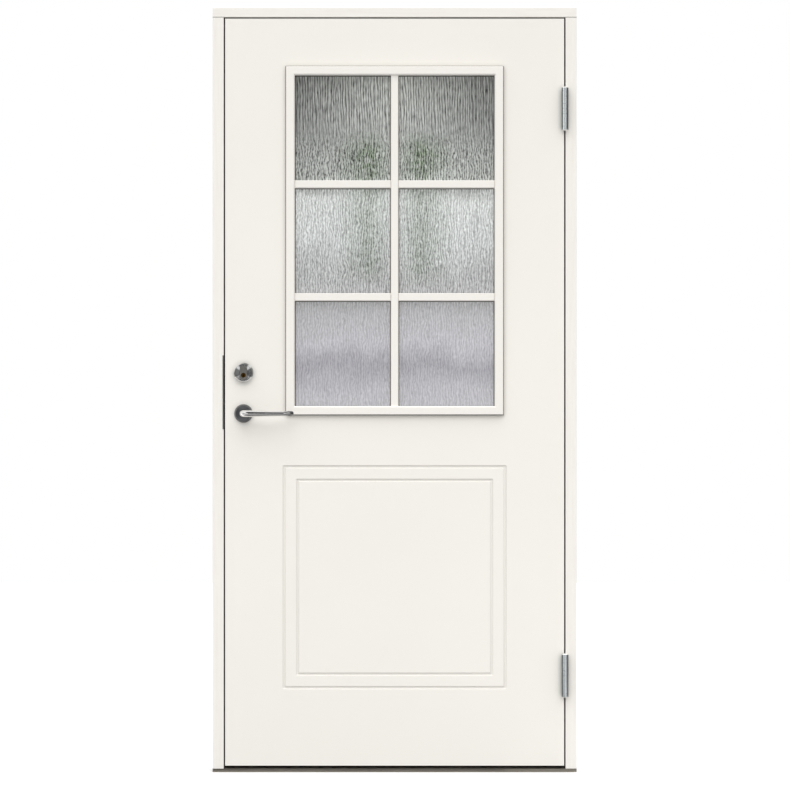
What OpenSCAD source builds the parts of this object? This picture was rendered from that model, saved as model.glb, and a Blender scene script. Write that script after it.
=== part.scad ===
// Panelled front door with its frame: an outward opening insulated leaf with a glazed upper half,
// a routed square below it, a lever handle, an oval cylinder and two lift-off hinges.
// X runs to the right as seen from outside, the outside faces -Y and Z is up.
// The origin is on the underside of the threshold, in the middle of its width and depth.

/* [Frame] */
// Width over the jambs
frame_w = 990; // [900:10:1190]
// Height from the underside of the threshold to the top of the head
frame_h = 2080; // [1980:10:2380]
// Depth of the frame, front to back
frame_d = 105; // [98:1:150]
// Width of a jamb seen from outside
jamb_face = 30; // [26:1:50]
// Height of the head seen from outside
head_face = 26; // [22:1:50]
// How far the stop stands into the opening
stop_w = 12; // [10:1:18]
// Height of the threshold in front of the stop
threshold_front = 10; // [8:1:16]
// Height of the threshold's upstand above its front
threshold_up = 15; // [13:1:20]
// Wall of the metal nosing on the threshold
nosing_t = 3; // [2:0.5:4]
// Depth of the nosing from the outer face
nosing_d = 60; // [40:1:64]
// Rounding of the timber's long edges
edge_r = 1.5; // [0.5:0.25:3]

/* [Leaf] */
// Thickness of the leaf
leaf_t = 62; // [56:1:70]
// Gap round the leaf at the jambs and the head
leaf_gap = 4; // [3:0.5:5]
// Gap under the leaf
floor_gap = 8; // [6:1:10]
// Thickness of the outer and inner skins
skin_t = 6; // [4:0.5:8]
// Width of the stile that takes the lock
lock_stile_w = 95; // [90:1:120]
// Width of the stile at the hinges
hinge_stile_w = 70; // [50:1:100]
// Height of the top rail
top_rail_h = 70; // [50:1:90]
// Height of the bottom rail
bottom_rail_h = 90; // [60:1:140]

/* [Routed panel] */
// Width of the outer groove's rectangle
panel_w = 606; // [400:1:640]
// Height of the outer groove's rectangle
panel_h = 604; // [400:1:700]
// Height of the outer groove above the leaf's lower edge
panel_up = 213; // [120:1:240]
// Distance between the two grooves
groove_pitch = 35; // [20:1:60]
// Width of a groove at the surface
groove_w = 7; // [4:0.5:10]
// Depth of a groove
groove_depth = 3; // [1.5:0.25:3.5]
// Radius of the inner groove's corners, at mid groove
groove_r = 7; // [6:1:20]

/* [Glazing] */
// Outer width of the glazing frame
glazing_w = 590; // [450:1:640]
// Outer height of the glazing frame
glazing_h = 946; // [700:1:1000]
// Distance from the top of the leaf to the glazing frame
glazing_down = 131; // [110:1:160]
// Width of the glazing frame's face
glazing_face = 23; // [20:1:30]
// How far the glazing frame stands proud of the leaf
glazing_proud = 12; // [8:1:16]
// How far the glazing frame laps over the skin
glazing_lap = 8; // [5:0.5:9]
// Width of the timber surround round the glass
surround_w = 25; // [18:1:30]
// Thickness of each glass pane
pane_t = 4; // [3:0.5:6]
// Gap between panes
pane_gap = 12; // [8:1:14]
// Room round the edge of the glass
pane_room = 3; // [2:0.5:4]
// Thickness of the gasket between the frame and the glass
gasket_t = 3; // [2:0.5:4]
// Width of a glazing bar
bar_w = 21; // [16:1:28]
// Width of the bevel along a glazing bar's edges
bar_bevel = 1.75; // [1:0.25:3]
// How far a bar's face lies behind the face of the glazing frame
bar_back = 6; // [3:1:8]
// Number of rows of lights
light_rows = 3; // [2:1:4]

/* [Lock] */
// Height of the handle's axis
handle_z = 976; // [940:1:1060]
// Height of the cylinder ring above the handle
cylinder_up = 111; // [105:1:120]
// Distance from the leaf's edge to the handle and the cylinder
backset = 50; // [48:1:55]
// Length of the lock's forend
forend_l = 235; // [225:1:260]
// Width of the forend
forend_w = 22; // [20:1:24]
// Thickness of the forend
forend_t = 3; // [2.5:0.5:4]
// Distance from the handle's axis to the back of the lock case
case_back = 29; // [27:1:34]
// Thickness of the lock case
case_t = 15; // [15:0.5:18]
// Wall of the lock case
case_wall = 1.5; // [1:0.25:2]
// Height of the latch and of the dead bolt
bolt_h = 20; // [18:1:22]
// Travel of the latch
latch_throw = 12; // [10:1:13]
// Travel of the dead bolt
deadbolt_throw = 20; // [16:1:20]
// Turn of the lever that draws the latch, in degrees
lever_turn = 45; // [40:1:55]
// Length of the strike plate
strike_l = 201; // [190:1:230]
// Thickness of the strike plate
strike_t = 3; // [2:0.5:4]

/* [Handle and cylinder] */
// Diameter of the roses
rose_d = 50; // [48:1:56]
// Height of the roses
rose_h = 9; // [7:0.5:12]
// Diameter of the lever at its neck
neck_d = 18.5; // [16:0.5:22]
// Diameter of the lever at its grip
grip_d = 15; // [13:0.5:18]
// Distance from the handle's axis to the lever's tip
lever_reach = 138; // [120:1:160]
// Distance from the leaf's face to the middle of the grip
lever_out = 48; // [44:1:58]
// Width of the square spindle
spindle_w = 8; // [7:0.5:9]
// Diameter of the cylinder ring
ring_d = 53; // [50:1:58]
// Height of the cylinder ring
ring_h = 12; // [9:0.5:14]
// Width of the oval cylinder
oval_w = 20; // [18:0.5:22]
// Height of the oval cylinder
oval_h = 41; // [38:0.5:43]
// Diameter of the key plug
plug_d = 13; // [11:0.5:14]
// Distance of the key plug below the middle of the ring
plug_down = 7; // [6:0.5:8]
// Length of the thumb turn's wing
turn_l = 38; // [30:1:44]
// Thickness of the thumb turn's wing
turn_w = 11; // [8:0.5:14]
// Height of the thumb turn above the leaf
turn_h = 30; // [25:1:36]

/* [Hinges and fixings] */
// Distance from the leaf's ends to the middle of the hinges
hinge_in = 246; // [180:1:300]
// Length of a hinge barrel
hinge_l = 114; // [100:1:140]
// Diameter of a hinge barrel
barrel_d = 18.5; // [16:0.5:20]
// Distance of the hinge axis in front of the leaf
barrel_out = 10.5; // [10.4:0.1:13]
// Diameter of the hinge pins
pin_d = 10; // [8:0.5:11]
// Thickness of the hinge plates
plate_t = 3; // [2.5:0.25:4]
// Depth of the hinge plates
plate_d = 40; // [34:1:46]
// Height of the domed caps on the hinge ends
cap_h = 3; // [2:0.5:5]
// Outer diameter of the fixing sleeves
sleeve_d = 14; // [13:0.5:16]
// Bore of the fixing sleeves
sleeve_bore = 10.5; // [9:0.25:11.5]
// Distance of the outer fixings from the frame's ends, lock side
fix_end_lock = 170; // [120:1:195]
// Distance of the outer fixings from the hinges' ends, hinge side
fix_end_hinge = 69; // [20:1:90]
// Distance of the inner fixings from mid height, lock side
fix_mid_lock = 390; // [350:1:420]
// Distance of the inner fixings from mid height, hinge side
fix_mid_hinge = 330; // [300:1:345]

/* [Clearances] */
// Radial running clearance of pins and plugs
run_fit = 0.05; // [0.02:0.01:0.1]
// Clearance between seated pieces
seat_fit = 0.1; // [0.02:0.02:0.2]
// Clearance between moving neighbours
move_gap = 0.3; // [0.2:0.05:0.5]
// Gap between the leaf and the stop, filled by the seal
seal_gap = 4.5; // [4:0.5:6]
// Width of the seal
seal_w = 6; // [5:0.5:7]

/* [Hidden] */
$fn = 64;
eps = 0.01;
white = [0.95, 0.94, 0.91];
steel = [0.62, 0.63, 0.64];

y_out = -frame_d / 2;
y_back = frame_d / 2;
y_in = y_out + leaf_t;
y_stop = y_in + seal_gap;
y_mid = y_out + leaf_t / 2;
jamb_in = frame_w / 2 - jamb_face;
stop_in = jamb_in - stop_w;
head_z = frame_h - head_face;
leaf_w = 2 * (jamb_in - leaf_gap);
leaf_x = leaf_w / 2;
threshold_back = threshold_front + threshold_up;
leaf_z0 = threshold_front + floor_gap;
leaf_z1 = head_z - leaf_gap;
leaf_h = leaf_z1 - leaf_z0;
core_y0 = y_out + skin_t;
core_y1 = y_in - skin_t;
core_t = core_y1 - core_y0;
lock_stile_x = -leaf_x + lock_stile_w;
hinge_stile_x = leaf_x - hinge_stile_w;

// Seal: barb in a kerf of the stop, bulb towards the leaf
seal_in = stop_w / 2;
seal_line_w = 2 * (stop_in + seal_in);
seal_line_z0 = threshold_back - seal_in;
seal_line_z1 = head_z - stop_w + seal_in;
seal_line_h = seal_line_z1 - seal_line_z0;
seal_h = seal_gap - move_gap;
seal_foot_t = 1.2;
barb_w = 2.6;
barb_depth = 5;
corner_bead = 0.06;

// Glazing
opening_w = glazing_w - 2 * glazing_lap;
opening_h = glazing_h - 2 * glazing_lap;
glazing_z = leaf_z1 - glazing_down - glazing_h / 2;
sight_w = glazing_w - 2 * glazing_face;
sight_h = glazing_h - 2 * glazing_face;
pane_w = opening_w - 2 * pane_room;
pane_h = opening_h - 2 * pane_room;
unit_t = 3 * pane_t + 2 * pane_gap;
glass_depth = (leaf_t - unit_t) / 2;
bar_h = glass_depth + glazing_proud - bar_back;
light_h = (sight_h - (light_rows - 1) * bar_w) / light_rows;
bar_len = (sight_w - bar_w) / 2;
leg_room = 1;
frame_bevel = 1.5;
sight_bevel = 3;

// Lock
lock_x = -leaf_x + backset;
cylinder_z = handle_z + cylinder_up;
plug_z = cylinder_z - plug_down;
case_x = -leaf_x + forend_t;
case_d = backset - forend_t + case_back;
case_end = 40;
case_z0 = handle_z - case_end;
case_z1 = cylinder_z + case_end;
forend_up = 2;
lock_z = (case_z0 + case_z1) / 2 + forend_up;
cave_y0 = y_mid - case_t / 2 + case_wall;
cave_y1 = y_mid + case_t / 2 - case_wall;
bolt_side = 0.5;
bolt_t = cave_y1 - cave_y0 - 2 * bolt_side;
tail_t = 4;
tail_y0 = cave_y0 + move_gap;
tail_y1 = tail_y0 + tail_t;
drive_gap = 0.5;
drive_y0 = tail_y1 + drive_gap;
drive_y1 = cave_y1 - move_gap;
drive_pin_d = 5;
hub_d = 18;
cam_hub_d = 16;
follower_r = latch_throw / 2 / sin(lever_turn / 2);
cam_lean = 135;
cam_r = deadbolt_throw / 2 / sin(cam_lean);
hub_room = 1;
latch_z0 = handle_z + hub_d / 2 + hub_room;
deadbolt_z0 = plug_z - cam_hub_d / 2 - hub_room - bolt_h;
head_l = 28;
slot_room = 0.75;
slot_wall = 4;
latch_tail = 9;
deadbolt_sink = 0.5;
bolt_pocket = 3;
spindle_out = 20;
bore_room = 1;
bolt_room = 0.5;
rose_foot = 2;
rose_bolt_in = 19;
rose_bolt_d = 5;
cylinder_short = 0.5;
cylinder_sink = 1;
cylinder_bolt_up = 15.5;
cylinder_bolt_d = 5;
turn_shaft_d = 10;
turn_square = 6;
forend_screw_in = 9;
strike_sink = 0.3;
strike_reveal = 1;
strike_back = 20;
strike_room = 2;
strike_screw_in = [10, 34];
spring_d = 6;
spring_wire = 1;
spring_turns = 8;
spring_l = 38;
spring_down = 1;
screw_d = 4.5;
screw_head_d = 8;
screw_l = 30;
jamb_screw_wall = 6;
jamb_screw_l = jamb_face - jamb_screw_wall;

// Hinges
hinge_x = leaf_x + leaf_gap / 2;
hinge_y = y_out - barrel_out;
hinge_zs = [leaf_z1 - hinge_in, leaf_z0 + hinge_in];
washer_t = 2;
washer_in = 0.5;
plate_screws = [[-0.32, 0.3], [-0.32, 0.7], [0.32, 0.3], [0.32, 0.7]];
mid_z = frame_h / 2;
lock_fix_zs = [fix_end_lock, mid_z - fix_mid_lock, mid_z + fix_mid_lock, frame_h - fix_end_lock];
hinge_reach = hinge_l / 2 + fix_end_hinge;
hinge_fix_zs = [hinge_zs[1] - hinge_reach, mid_z - fix_mid_hinge,
  mid_z + fix_mid_hinge, hinge_zs[0] + hinge_reach];

// Places children on the leaf's outer face, with +Z pointing out of the face
module on_outside(x, z) {
  translate([x, y_out, z]) rotate([90, 0, 0]) children();
}

// Places children on the leaf's inner face, with +Z pointing out of the face
module on_inside(x, z) {
  translate([x, y_in, z]) mirror([0, 1, 0]) rotate([90, 0, 0]) children();
}

// A box between two corners
module block(low, high) {
  translate(low) cube(high - low);
}

// A cylinder along Y between two depths
module rod_y(d, y0, y1) {
  translate([0, y1, 0]) rotate([90, 0, 0]) cylinder(d = d, h = y1 - y0);
}

// A slot with round ends, upright
module stadium(w, h) {
  square([w, h - w], center = true);
  for (s = [-1, 1]) translate([0, s * (h - w) / 2]) circle(d = w);
}

// What a rounding takes off a corner at the origin, with the timber in the first quadrant
module arris() {
  difference() {
    translate([-eps, -eps]) square(edge_r + eps);
    translate([edge_r, edge_r]) circle(edge_r);
  }
}

// Outline of a stepped block: each step gives how far its edge lies inside the width, and its height
module stepped_outline(w, steps) {
  right = [for (p = steps) [w / 2 - p[0], p[1]]];
  left = [for (i = [len(steps) - 1:-1:0]) [steps[i][0] - w / 2, steps[i][1]]];
  polygon(concat(right, left));
}

// A rectangular block that has the same steps and bevels on all four sides
module stepped_block(w, h, steps) {
  intersection() {
    rotate([90, 0, 0]) linear_extrude(2 * h, center = true) stepped_outline(w, steps);
    rotate([90, 0, 90]) linear_extrude(2 * w, center = true) stepped_outline(h, steps);
  }
}

// A flat rectangular ring
module flat_ring(w, h, border, t) {
  linear_extrude(t) difference() {
    square([w, h], center = true);
    square([w - 2 * border, h - 2 * border], center = true);
  }
}

// A countersunk screw with a hexagon socket, its head level with the origin
module screw(length = screw_l) {
  difference() {
    screw_form(0, length);
    translate([0, 0, -2]) cylinder(d = screw_d * 0.7, h = 3, $fn = 6);
  }
}

// The screw's outline, or its hole when grown
module screw_form(grow, length = screw_l) {
  rotate_extrude() polygon([
    [0, grow], [screw_head_d / 2 + grow, grow], [screw_head_d / 2 + grow, 0],
    [screw_d / 2 + grow, -(screw_head_d - screw_d) / 2],
    [screw_d / 2 + grow, screw_d - length], [0, -length - grow]
  ]);
}

// Section of the hinge side jamb, seen from above
module jamb_section() {
  difference() {
    union() {
      translate([jamb_in, y_out]) square([jamb_face, frame_d]);
      translate([stop_in, y_stop]) square([jamb_face + stop_w, y_back - y_stop]);
    }
    translate([jamb_in, y_out]) arris();
    translate([frame_w / 2, y_out]) rotate(90) arris();
    translate([stop_in, y_stop]) arris();
    translate([stop_in, y_back]) rotate(270) arris();
  }
}

// Puts children on the stops' face, in the middle of the seal's line, with +Z towards the leaf
module on_stops() {
  translate([0, y_stop, (seal_line_z0 + seal_line_z1) / 2]) rotate([90, 0, 0]) children();
}

// A flat band along the seal's line, as wide as twice its half, between two heights
module seal_band(half, z0, z1) {
  translate([0, 0, z0]) flat_ring(seal_line_w + 2 * half, seal_line_h + 2 * half, 2 * half, z1 - z0);
}

// Kerf in the stops that holds the seal's barb
module seal_kerf() {
  on_stops() seal_band(barb_w / 2 + seat_fit, -barb_depth - seat_fit, eps);
}

// A jamb of the hinge side before its fittings are cut in
module jamb_blank() {
  translate([0, 0, threshold_front]) linear_extrude(head_z - threshold_front) jamb_section();
}

// Holes for the fixing sleeves through a jamb
module sleeve_holes(side, heights) {
  for (z = heights) translate([side * jamb_in, y_mid, z]) rotate([0, side * 90, 0])
    translate([0, 0, -eps]) cylinder(d = sleeve_d + 2 * seat_fit, h = jamb_face + 2 * eps);
}

// Fixing sleeves through a jamb
module sleeves(side, heights) {
  for (z = heights) translate([side * jamb_in, y_mid, z]) rotate([0, side * 90, 0]) difference() {
    cylinder(d = sleeve_d, h = jamb_face);
    translate([0, 0, -eps]) cylinder(d = sleeve_bore, h = jamb_face + 2 * eps);
  }
}

module head_jamb() {
  color(white) difference() {
    union() {
      rotate([90, 0, 90]) linear_extrude(frame_w, center = true) difference() {
        translate([y_out, head_z]) square([frame_d, head_face]);
        translate([y_out, head_z]) arris();
        translate([y_out, frame_h]) rotate(270) arris();
      }
      block([-stop_in, y_stop, head_z - stop_w], [stop_in, y_back, head_z]);
    }
    seal_kerf();
  }
}

// Heights and sizes of the two bolts: lower edge, reach into the jamb
function bolt_list() = [[latch_z0, latch_throw], [deadbolt_z0, deadbolt_throw]];

// Place of the strike plate's screws along its length
function strike_screw_zs() = [for (s = [-1, 1], in = strike_screw_in) lock_z + s * (strike_l / 2 - in)];

// Puts children on the lock jamb's rebate face with +Z into the opening
module on_strike(z) {
  translate([-jamb_in - strike_sink, y_mid, z]) rotate([0, 90, 0]) children();
}

module lock_jamb() {
  color(white) difference() {
    mirror([1, 0, 0]) jamb_blank();
    seal_kerf();
    sleeve_holes(-1, lock_fix_zs);
    block([-jamb_in - strike_t - strike_sink, y_out - eps, lock_z - strike_l / 2 - seat_fit],
          [-jamb_in + eps, y_mid + strike_back + seat_fit, lock_z + strike_l / 2 + seat_fit]);
    for (b = bolt_list())
      block([-leaf_x - b[1] - bolt_pocket, y_mid - bolt_t / 2 - bolt_pocket, b[0] - bolt_pocket],
            [-jamb_in, y_mid + bolt_t / 2 + bolt_pocket, b[0] + bolt_h + bolt_pocket]);
    for (z = strike_screw_zs()) on_strike(z) screw_form(seat_fit, jamb_screw_l);
  }
}

module hinge_jamb() {
  color(white) difference() {
    jamb_blank();
    seal_kerf();
    sleeve_holes(1, hinge_fix_zs);
    for (z = hinge_zs) at_hinge(z) {
      plate_recess();
      plate_screw_holes();
    }
  }
}

// The hardwood sill, cut back for the nosing, with an upstand between the jambs
module threshold() {
  color([0.45, 0.33, 0.22]) difference() {
    union() {
      block([-frame_w / 2, y_out + nosing_t, 0], [frame_w / 2, y_back, threshold_front]);
      block([-stop_in, y_stop, 0], [stop_in, y_back, threshold_back]);
    }
    block([-frame_w / 2 - eps, y_out, threshold_front - nosing_t],
          [frame_w / 2 + eps, y_out + nosing_d, threshold_front + eps]);
    seal_kerf();
  }
}

// Angle profile over the front of the sill, with grip grooves along its top
module threshold_nosing() {
  grip_pitch = 6;
  grip_w = 2;
  grip_depth = 0.8;
  color([0.43, 0.41, 0.39]) rotate([90, 0, 90]) linear_extrude(frame_w, center = true) difference() {
    translate([y_out, 0]) square([nosing_d, threshold_front]);
    translate([y_out + nosing_t, -eps]) square([nosing_d, threshold_front - nosing_t + eps]);
    translate([y_out, threshold_front]) rotate(270) arris();
    for (k = [2:5]) translate([y_out + k * grip_pitch, threshold_front - grip_depth])
      square([grip_w, 2 * grip_depth]);
  }
}

// Rubber seal round the stops: a barb in the kerf, a flat foot and a bulb with round corners
module frame_seal() {
  bulb_r = min(seal_h, seal_w) / 2;
  color([0.12, 0.12, 0.12]) on_stops() {
    seal_band(barb_w / 2, -barb_depth, seal_foot_t / 2);
    seal_band(seal_w / 2, 0, seal_foot_t);
    for (k = [0:3]) {
      along = k % 2 == 0 ? seal_line_w : seal_line_h;
      across = k % 2 == 0 ? seal_line_h : seal_line_w;
      rotate(90 * k) translate([0, -across / 2, seal_h - bulb_r]) {
        rotate([0, 90, 0]) cylinder(r = bulb_r, h = along, center = true);
        translate([along / 2, 0, 0]) sphere(bulb_r + corner_bead);
      }
    }
  }
}

module strike_plate() {
  color(steel) difference() {
    block([-jamb_in - strike_t - strike_sink, y_out + strike_reveal, lock_z - strike_l / 2],
          [-jamb_in - strike_sink, y_mid + strike_back, lock_z + strike_l / 2]);
    for (b = bolt_list())
      block([-jamb_in - 2 * strike_t, y_mid - bolt_t / 2 - strike_room, b[0] - strike_room],
            [-jamb_in, y_mid + bolt_t / 2 + strike_room, b[0] + bolt_h + strike_room]);
    for (z = strike_screw_zs()) on_strike(z) screw_form(seat_fit, jamb_screw_l);
  }
}

module strike_screws() {
  color(steel) for (z = strike_screw_zs()) on_strike(z) screw(jamb_screw_l);
}

module frame_sleeves() {
  color(steel) {
    sleeves(-1, lock_fix_zs);
    sleeves(1, hinge_fix_zs);
  }
}

// Puts children at a hinge's axis at mid height, with +X towards the jamb
module at_hinge(z) {
  translate([hinge_x, hinge_y, z]) children();
}

// Turns children from the frame's half of a hinge into the leaf's half
module door_side() {
  mirror([1, 0, 0]) mirror([0, 0, 1]) children();
}

// Half a hinge: plate in the edge of the timber, tongue and turned knuckle
module hinge_half(bore_fit) {
  plate_in = 1;
  tongue_in = 3;
  line_depth = 0.5;
  line_end = 9;
  line_mid = 14;
  line_r = barrel_d / 2 + eps;
  difference() {
    union() {
      translate([0, 0, -hinge_l / 2]) cylinder(d = barrel_d, h = (hinge_l - washer_t) / 2);
      block([leaf_gap / 2, barrel_out + plate_in, -hinge_l / 2],
            [leaf_gap / 2 + plate_t, barrel_out + plate_d, hinge_l / 2]);
      block([leaf_gap / 2, 0, -hinge_l / 2 + tongue_in],
            [leaf_gap / 2 + plate_t, barrel_out + 2 * plate_in, -washer_t / 2 - plate_in]);
    }
    translate([0, 0, -hinge_l / 2 - eps]) cylinder(d = pin_d + 2 * bore_fit, h = hinge_l);
    for (z = [-hinge_l / 2 + line_end, -line_mid]) translate([0, 0, z]) rotate_extrude()
      polygon([[line_r - line_depth, 0], [line_r, -line_depth], [line_r, line_depth]]);
    plate_screw_holes();
  }
}

// Recess in the timber for a hinge plate and its tongue
module plate_recess() {
  block([leaf_gap / 2 - eps, barrel_out - eps, -hinge_l / 2 - seat_fit],
        [leaf_gap / 2 + plate_t + seat_fit, barrel_out + plate_d + seat_fit, hinge_l / 2 + seat_fit]);
}

// Puts children at each screw of a hinge plate, with +Z out of the plate
module at_plate_screws() {
  for (p = plate_screws)
    translate([leaf_gap / 2, barrel_out + p[1] * plate_d, p[0] * hinge_l]) rotate([0, -90, 0]) children();
}

module plate_screw_holes() {
  at_plate_screws() screw_form(seat_fit, jamb_screw_l);
}

module upper_hinge_frame_leaf() {
  color(steel) at_hinge(hinge_zs[0]) hinge_half(seat_fit / 5);
}

module lower_hinge_frame_leaf() {
  color(steel) at_hinge(hinge_zs[1]) hinge_half(seat_fit / 5);
}

module upper_hinge_door_leaf() {
  color(steel) at_hinge(hinge_zs[0]) door_side() hinge_half(run_fit);
}

module lower_hinge_door_leaf() {
  color(steel) at_hinge(hinge_zs[1]) door_side() hinge_half(run_fit);
}

// Turned pins, held in the frame's knuckles, with chamfered ends
module hinge_pins() {
  pin_short = 6;
  foot_bevel = 1;
  lead_in = 2;
  pin_end = hinge_l / 2 - pin_short;
  pin_r = pin_d / 2;
  color(steel) for (z = hinge_zs) at_hinge(z) rotate_extrude() polygon([
    [0, -pin_end], [pin_r - foot_bevel, -pin_end], [pin_r, -pin_end + foot_bevel],
    [pin_r, pin_end - lead_in], [pin_r - lead_in, pin_end], [0, pin_end]
  ]);
}

// Washers that carry the leaf on the frame's knuckles
module hinge_washers() {
  color([0.70, 0.60, 0.35]) for (z = hinge_zs) at_hinge(z) difference() {
    translate([0, 0, -washer_t / 2]) cylinder(d = barrel_d - 2 * washer_in, h = washer_t - move_gap);
    translate([0, 0, -washer_t]) cylinder(d = pin_d + 2 * run_fit, h = 2 * washer_t);
  }
}

// A domed cap on the lower end of a knuckle, with a spigot in its bore
module knuckle_cap() {
  spigot_l = 4;
  cap_r = barrel_d / 2 - 1;
  dome_r = (cap_r * cap_r + cap_h * cap_h) / (2 * cap_h);
  translate([0, 0, -hinge_l / 2]) {
    cylinder(d = pin_d - 2 * run_fit, h = spigot_l);
    intersection() {
      translate([0, 0, dome_r - cap_h]) sphere(dome_r);
      translate([0, 0, -cap_h - 1]) cylinder(r = cap_r + 1, h = cap_h + 1);
    }
  }
}

module frame_hinge_caps() {
  color("white") for (z = hinge_zs) at_hinge(z) knuckle_cap();
}

module door_hinge_caps() {
  color("white") for (z = hinge_zs) at_hinge(z) door_side() knuckle_cap();
}

module frame_hinge_screws() {
  color(steel) for (z = hinge_zs) at_hinge(z) at_plate_screws() screw(jamb_screw_l);
}

module door_hinge_screws() {
  color(steel) for (z = hinge_zs) at_hinge(z) door_side() at_plate_screws() screw(jamb_screw_l);
}

// Hinge recesses and screw holes on the leaf's edge
module leaf_hinge_cuts() {
  for (z = hinge_zs) at_hinge(z) door_side() {
    plate_recess();
    plate_screw_holes();
  }
}

// Holes through the leaf for the spindle, the roses' bolts, the cylinder and the thumb turn
module leaf_bores() {
  translate([lock_x, 0, handle_z]) {
    rod_y(neck_d + 2 * bore_room, y_out - 1, y_in + 1);
    for (s = [-1, 1]) translate([s * rose_bolt_in, 0, 0])
      rod_y(rose_bolt_d + 2 * bolt_room, y_out - 1, y_in + 1);
  }
  on_outside(lock_x, cylinder_z) translate([0, 0, -leaf_t / 2])
    linear_extrude(leaf_t / 2 + 1) stadium(oval_w + 2 * seat_fit, oval_h + 2 * seat_fit);
  translate([lock_x, 0, plug_z]) rod_y(turn_shaft_d + 2 * bore_room, y_mid, y_in + 1);
  translate([lock_x, 0, cylinder_z + cylinder_bolt_up])
    rod_y(cylinder_bolt_d + 2 * seat_fit, y_mid, y_in + 1);
}

// The groove's V, cut round a rectangle with rounded corners
module groove(w, h, r) {
  run = 1 + 0.5 / groove_depth;
  module vee() {
    polygon([[-groove_w / 2 * run, 0.5], [groove_w / 2 * run, 0.5], [0, -groove_depth]]);
  }
  for (k = [0:3]) {
    along = k % 2 == 0 ? w : h;
    across = k % 2 == 0 ? h : w;
    rotate(90 * k) {
      translate([0, -across / 2, 0]) rotate([90, 0, 90]) linear_extrude(along - 2 * r, center = true) vee();
      translate([along / 2 - r, -across / 2 + r, 0]) rotate(-90)
        rotate_extrude(angle = 90) translate([r, 0]) vee();
    }
  }
}

// A skin of the leaf with the opening for the glass, drawn from y0 backwards
module skin_sheet(y0) {
  difference() {
    block([-leaf_x, y0, leaf_z0], [leaf_x, y0 + skin_t, leaf_z1]);
    translate([0, y0, glazing_z]) cube([opening_w, 3 * skin_t, opening_h], center = true);
    leaf_bores();
    leaf_hinge_cuts();
  }
}

module outer_skin() {
  color(white) difference() {
    skin_sheet(y_out);
    on_outside(0, leaf_z0 + panel_up + panel_h / 2) {
      groove(panel_w - groove_w, panel_h - groove_w, groove_r + groove_pitch / 4);
      groove(panel_w - groove_w - 2 * groove_pitch, panel_h - groove_w - 2 * groove_pitch, groove_r);
    }
  }
}

module inner_skin() {
  color(white) skin_sheet(core_y1);
}

module lock_stile() {
  color(white) difference() {
    block([-leaf_x, core_y0, leaf_z0], [lock_stile_x, core_y1, leaf_z1]);
    block([-leaf_x - 1, y_mid - case_t / 2 - seat_fit, case_z0 - seat_fit],
          [case_x + case_d + seat_fit, y_mid + case_t / 2 + seat_fit, case_z1 + seat_fit]);
    block([-leaf_x - 1, y_mid - forend_w / 2 - seat_fit, lock_z - forend_l / 2 - seat_fit],
          [case_x, y_mid + forend_w / 2 + seat_fit, lock_z + forend_l / 2 + seat_fit]);
    leaf_bores();
    for (z = forend_screw_zs()) on_forend(z) screw_form(seat_fit);
  }
}

module hinge_stile() {
  color(white) difference() {
    block([hinge_stile_x, core_y0, leaf_z0], [leaf_x, core_y1, leaf_z1]);
    leaf_hinge_cuts();
  }
}

module top_rail() {
  color(white)
    block([lock_stile_x, core_y0, leaf_z1 - top_rail_h], [hinge_stile_x, core_y1, leaf_z1]);
}

module bottom_rail() {
  color(white)
    block([lock_stile_x, core_y0, leaf_z0], [hinge_stile_x, core_y1, leaf_z0 + bottom_rail_h]);
}

// Timber lining round the glass
module glazing_surround() {
  color([0.80, 0.66, 0.46]) translate([0, core_y1, glazing_z]) rotate([90, 0, 0])
    flat_ring(opening_w + 2 * surround_w, opening_h + 2 * surround_w, surround_w, core_t);
}

// Foam between the stiles, the rails and the glazing surround
module insulation_core() {
  color([0.93, 0.90, 0.80]) difference() {
    block([lock_stile_x, core_y0, leaf_z0 + bottom_rail_h], [hinge_stile_x, core_y1, leaf_z1 - top_rail_h]);
    translate([0, y_mid, glazing_z])
      cube([opening_w + 2 * surround_w, 2 * leaf_t, opening_h + 2 * surround_w], center = true);
  }
}

// Moulded glazing frame: lap on the skin, bevelled face and a leg down to the gasket
module glazing_frame() {
  leg = glass_depth - gasket_t;
  leg_in = glazing_lap + leg_room;
  difference() {
    union() {
      stepped_block(glazing_w, glazing_h,
        [[0, 0], [0, glazing_proud - frame_bevel], [frame_bevel, glazing_proud]]);
      stepped_block(glazing_w, glazing_h, [[leg_in, -leg], [leg_in, glazing_proud / 2]]);
    }
    stepped_block(sight_w, sight_h, [[0, -2 * leg], [0, glazing_proud - sight_bevel],
      [-2 * sight_bevel, glazing_proud + sight_bevel]]);
  }
}

module outer_glazing_frame() {
  color(white) on_outside(0, glazing_z) glazing_frame();
}

module inner_glazing_frame() {
  color(white) on_inside(0, glazing_z) glazing_frame();
}

// Section of a glazing bar, standing on the glass
module bar_section() {
  bevel_h = 2.5 * bar_bevel;
  polygon([
    [-bar_w / 2, 0], [bar_w / 2, 0], [bar_w / 2, bar_h - bevel_h], [bar_w / 2 - bar_bevel, bar_h],
    [-bar_w / 2 + bar_bevel, bar_h], [-bar_w / 2, bar_h - bevel_h]
  ]);
}

// Section of a short bar along its length, with bevelled ends
module bar_side() {
  l = bar_len - 2 * seat_fit;
  polygon([[-l / 2, 0], [l / 2, 0], [l / 2, bar_h - bar_bevel], [l / 2 - bar_bevel, bar_h],
    [-l / 2 + bar_bevel, bar_h], [-l / 2, bar_h - bar_bevel]]);
}

// The upright bar in the middle of the glass
module vertical_bar() {
  translate([0, 0, -glass_depth]) rotate([90, 0, 0])
    linear_extrude(sight_h - 2 * seat_fit, center = true) bar_section();
}

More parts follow.
